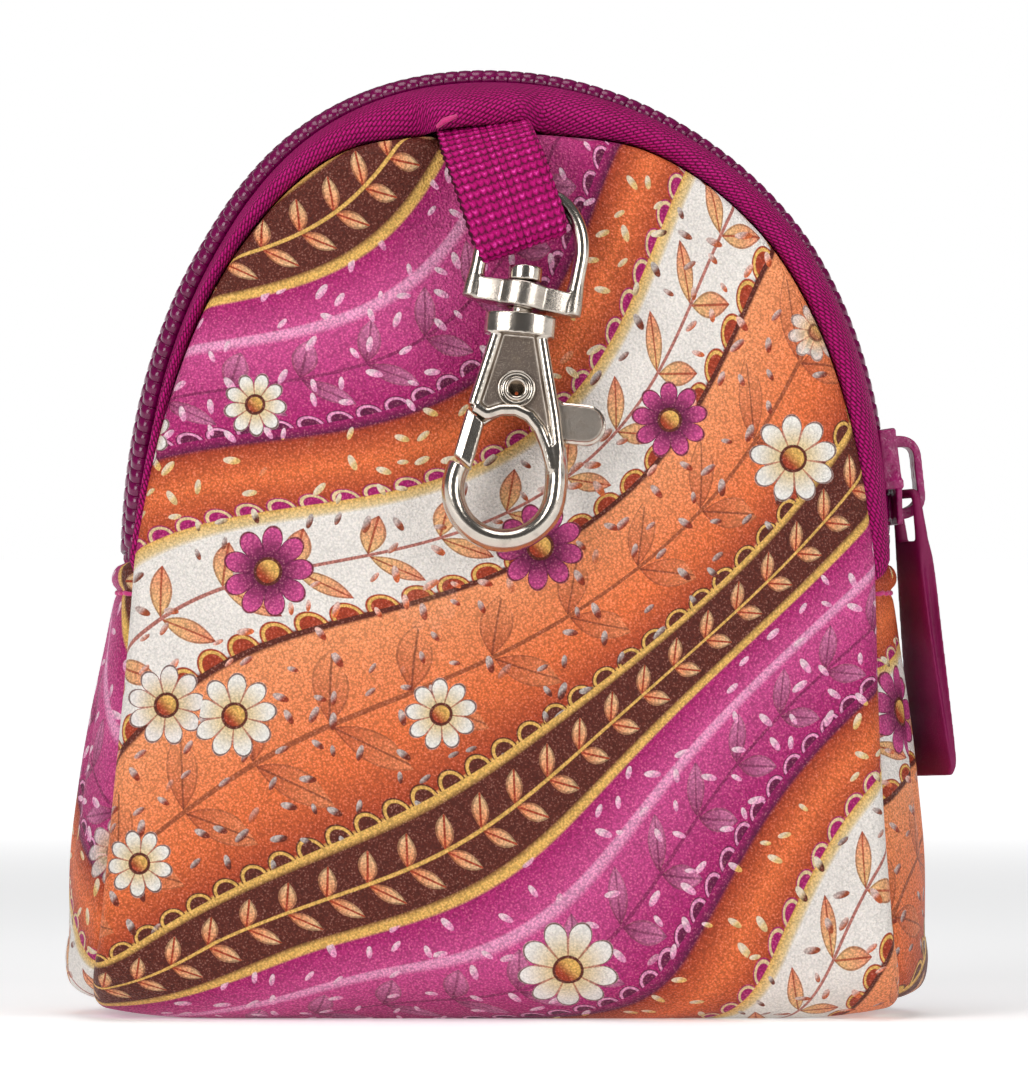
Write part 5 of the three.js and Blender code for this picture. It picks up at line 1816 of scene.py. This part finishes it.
# %% Webbing line
STRAP = {
    "half": 5.1, "splay": 0.2, "pinch": 0.4, "origin": (0.2, 5.55), "web": 0.8, "columns": 105, "rows": 150,
    "fold_rows": 36,
}
STRAP_ROWS = {
    "row": (0, 1, 2, 3, 4, 5, 6),
    "up": (15.0, 14.8, 14.1, 12.3, 9.8, 7.0, 2.15),
    "out": (-8.0, -5.8, -3.9, -1.9, -0.5, 0, 0),
    "width": (4, 6, 10, 15, 18.5, 19.5, 20.5),
    "spacing": (0.9, 0.9, 0.95, 1.1, 1.6, 2.1, 2.1),
}


def strap_line():
    """Middle line of the strip, its normals and its directions across, down and back up again."""
    tilt = np.radians(CLASP["strap"])
    direction = np.array([-np.sin(tilt), np.cos(tilt)])

    def line(up, out):
        flat = np.array(STRAP["origin"]) + np.multiply.outer(up, direction)
        return np.concatenate([flat, np.asarray(out, float)[..., None]], -1)

    row = np.linspace(0, STRAP_ROWS["row"][-1], STRAP["rows"])
    columns = ("up", "out", "width", "spacing")
    up, out, width, spacing = (smooth(STRAP_ROWS, "row", column, row) for column in columns)
    centre, turn = line(up, out), np.radians(width)
    across = np.stack([np.cos(turn), np.sin(turn), np.zeros_like(turn)], -1)
    normal = unit(np.cross(unit(np.gradient(centre, axis=0)), across))
    away = spacing[:, None] * normal
    bow = np.linspace(0, np.pi, STRAP["fold_rows"] + 2)[1:-1]
    fold = line(spacing[-1] * (1 - np.sin(bow)), spacing[-1] * np.cos(bow))
    fold_normal = np.c_[-np.sin(bow)[:, None] * direction, np.cos(bow)]
    middle = np.concatenate([centre + away, fold, (centre - away)[::-1]])
    facing = np.concatenate([normal, fold_normal, -normal[::-1]])
    sideways = np.concatenate([across, np.repeat(across[-1:], len(bow), 0), across[::-1]])
    return middle, facing, sideways


print(f"strip of {run_lengths(strap_line()[0])[-1]:.1f} mm")

# %% [markdown]
# ## Webbing loop
# The weave is coarse enough to see its threads, so the grid itself rises and falls with them: a warp
# thread every three quarters of a millimetre, over one weft and under the next. Real threads are
# never quite even, so two slow waves vary their height, and the edges are wavy at the wefts.

# %% Webbing loop
WANDER = {"first": (1.7, 2.3), "second": (0.9, -1.9)}


def weave_lift(run, share):
    """How high each point of the grid lies on its thread, from 0 to 1."""
    weave = WEAVE
    run = run[:, None]
    warp = (share + STRAP["half"]) / weave["warp"]
    beside = 2 * np.abs(warp % 1 - 0.5)
    hop = weave["hop"] * np.sin(weave["hop_rate"] * np.floor(warp))
    over = np.abs(np.sin(np.pi * (run + weave["slant"] * beside) / weave["weft"] + hop))
    first, second = (np.sin(a * warp + b * run) for a, b in WANDER.values())
    even = weave["even"] + (1 - weave["even"]) * (first * second)
    return (1 - beside ** weave["flank"]) ** weave["crown"] * over ** weave["over"] * even


def strap_edge(run):
    """Half width down the strip: wavy at the wefts, splayed below and pinched in the fold."""
    strap, count = STRAP, len(run)
    rows = np.arange(count)
    ends = (0, strap["rows"], count - strap["rows"], count)
    splay = strap["splay"] * np.interp(rows, ends, (0, 1, 1, 0))
    bow = np.clip((rows - strap["rows"] + 1) / (strap["fold_rows"] + 1), 0, 1)
    waves = WEAVE["edge"] * np.cos(2 * np.pi * run / WEAVE["weft"])
    return strap["half"] + waves + splay - strap["pinch"] * np.sin(np.pi * bow) ** 2


def webbing_loop():
    middle, facing, sideways = strap_line()
    run = run_lengths(middle)
    share = np.linspace(-1, 1, STRAP["columns"]) * STRAP["half"]
    lift = weave_lift(run, share)
    spread = share * (strap_edge(run) / STRAP["half"])[:, None]
    rise = (WEAVE["height"] * lift)[..., None] * facing[:, None]
    points = middle[:, None] + spread[..., None] * sideways[:, None] + rise
    points = matrix(*clasp_frame(0))(points)
    chart = np.stack(np.broadcast_arrays(run[:, None], share), -1)
    item = sewn_sheet("webbing_loop", [(points, chart)], STRAP["web"])
    both_sides = np.r_[lift.ravel(), lift.ravel() * 0]
    store(item, "lift", np.resize(both_sides, len(item.data.vertices)))
    seat(item, WEBBING, "pouch", "webbing", "strap_loop")


webbing_loop()

# %% [markdown]
# ## Stitches
# A row of thick magenta thread holds each hem, and a short loose end sticks out where the webbing was
# sewn in. Thread could be drawn in a texture, but real stitches stand proud and sink in at both ends,
# so each one is a short tube bent into the leatherette.

# %% Stitches
STITCH = {
    "length": 1.9, "gap": 0.35, "radius": 0.27, "height": 47.85, "lift": 0.16, "dip": 0.55, "tilt": 0.12,
    "clear": 0.6, "start": 0.1, "steps": 11, "line_steps": 240,
}
THREAD_END = ((-6.6, 100.3, -0.1), (-5.9, 100.9, 0.2), (-5.2, 101.2, 0.25), (-4.4, 101.5, -0.1))
LOOSE = {"near": 0.6, "thick": 0.34, "taper": (0.5, np.pi - 0.35), "steps": 24, "sides": 10}


def hem_line(side):
    """A line along the foot of a gusset's hem, from seam to seam."""
    height = STITCH["height"]
    full = seam_depth(height) - ROLL - GUSSET_SEAM
    y = np.linspace(STITCH["clear"] - full, full - STITCH["clear"], STITCH["line_steps"])
    bulge = smooth(GUSSET, "height", "bulge", height)
    x = panel_half(height) + bulge * (1 - np.abs(y / full) ** BULGE_POWER)
    x = x - rolled_in(np.clip(1 - (full - np.abs(y)) / ROLL, 0, 1))
    return np.stack([side * x + lean(height), y, np.full_like(y, height)], -1)


def stitch_row(name, side):
    line = hem_line(side)
    run = run_lengths(line)
    share = np.linspace(-1, 1, STITCH["steps"])
    solids = []
    for start in np.arange(STITCH["start"], run[-1] - STITCH["length"], STITCH["length"] + STITCH["gap"]):
        places = np.linspace(start, start + STITCH["length"], STITCH["steps"])
        path = np.stack([np.interp(places, run, column) for column in line.T], -1)
        path[:, 0] += side * (STITCH["lift"] - STITCH["dip"] * share ** 4)
        path[:, 2] += STITCH["tilt"] * share
        solids.append(tube(path, STITCH["radius"]))
    seat(joined(name, solids), THREAD, "pouch", "webbing")


def thread_end():
    """A short end of thread where the webbing is sewn in, lying on the front tape."""
    spots = vertex_places(FRONT_TAPE)
    path = []
    for x, height, lift in THREAD_END:
        near = np.hypot(spots[:, 0] - x, spots[:, 2] - height) < LOOSE["near"]
        path.append((x, spots[near, 1].min() - lift, height))
    thick = LOOSE["thick"] * np.sin(np.linspace(*LOOSE["taper"], LOOSE["steps"])) ** 0.5
    thread = tube(resample(np.array(path), LOOSE["steps"]), thick, LOOSE["sides"])
    seat(joined("thread_end", [thread]), THREAD, "pouch", "webbing")


THREAD = clouded(
    "sewing_thread", dark=(150, 0, 80), light=(222, 30, 130), sizes=(0.2, 0.2, 0.2),
    gloss=(0.5, 0.2), relief=0.05, fixed={"Sheen Weight": 0.3},
)
stitch_row("stitches_left", -1)
stitch_row("stitches_right", 1)
thread_end()

# %% [markdown]
# ## Floor
# The pouch stands on a plain pale floor. A white plane alone would turn grey away from the lamps, so
# it glows a little, and more with its distance from the pouch, where the soft shadow has to stay. The
# dimmer glow near the pouch is a painted soft shadow.

# %% Floor
FLOOR = {
    "half": 30000, "cloud": 400.0, "dark": 0.84, "light": 0.88, "reach": (0.01, 0.6), "painted_shadow_glow": 0.35,
}


def grey(level):
    return (level, level, level, 1)


def floor():
    half = FLOOR["half"]
    corners = [(x, y, 0) for x, y in oblong(-half, -half, half, half)]
    item = new_object("floor", corners, [(0, 1, 2, 3)])
    material, shader, place = start_material("pale_floor")
    cloud = noise(in_millimetres(place), FLOOR["cloud"])
    colour = cloud.mix(grey(FLOOR["dark"]), grey(FLOOR["light"]))
    east, north, _ = place.parts()
    far = (east * east + north * north).ramp(*FLOOR["reach"])
    # Dimmer glow near the pouch: a painted soft shadow.
    glow = far.mix(grey(FLOOR["painted_shadow_glow"]), grey(1))
    fixed = {"Emission Strength": 0.9, "Roughness": 0.9}
    finish_material(place, shader, fixed, {"Base Color": colour, "Emission Color": glow})
    item.data.materials.append(material)


floor()
print("floor ready")

# %% [markdown]
# ## World and lamps
# The light is that of a soft studio. A world that is white near the horizon gives the pale background.
# A darker sky above it, and a darker room in front of the pouch, keep contrast in the nickel, where a
# fully white room would make it look like chalk. Three large soft lamps shape the folds.

# %% World and lamps
SKY = {
    "horizon": (0.08, 0.22), "ahead": (-0.4, -0.8), "ahead_share": 0.75,
    "above": (0.10, 0.10, 0.105, 1), "room": (0.06, 0.06, 0.062, 1),
}
LAMPS = (
    ("left_softbox", (-520, -620, 420), 420, 3.9),
    ("right_softbox", (560, -560, 330), 360, 2.2),
    ("top_softbox", (0, -80, 760), 520, 2.8),
)
LAMP_AIM = (0, 0, 50)


def sky():
    world = bpy.data.worlds.new("studio")
    bpy.context.scene.world = world
    world.use_nodes = True
    tree = world.node_tree
    place = tree.nodes.new("ShaderNodeTexCoord")
    start = Plug(tree, place.outputs["Generated"])
    _, ahead, height = start.parts()
    level = abs(height).ramp(*SKY["horizon"]).mix(grey(1), SKY["above"])
    level = (ahead.ramp(*SKY["ahead"]) * SKY["ahead_share"]).mix(level, SKY["room"])
    start.feed(tree.nodes["Background"].inputs["Color"], level)


def lamps():
    for name, spot, size, power in LAMPS:
        data = bpy.data.lights.new(name, "AREA")
        data.size = size * MM
        data.energy = power
        lamp = bpy.data.objects.new(name, data)
        lamp.location = np.array(spot) * MM
        bpy.context.collection.objects.link(lamp)
        target = bpy.data.objects.new(name + "_aim", None)
        target.location = np.array(LAMP_AIM) * MM
        bpy.context.collection.objects.link(target)
        aim = lamp.constraints.new("TRACK_TO")
        aim.target = target


bpy.context.scene.view_settings.view_transform = "Standard"
sky()
lamps()
print("stage ready, with", len(LAMPS), "lamps")
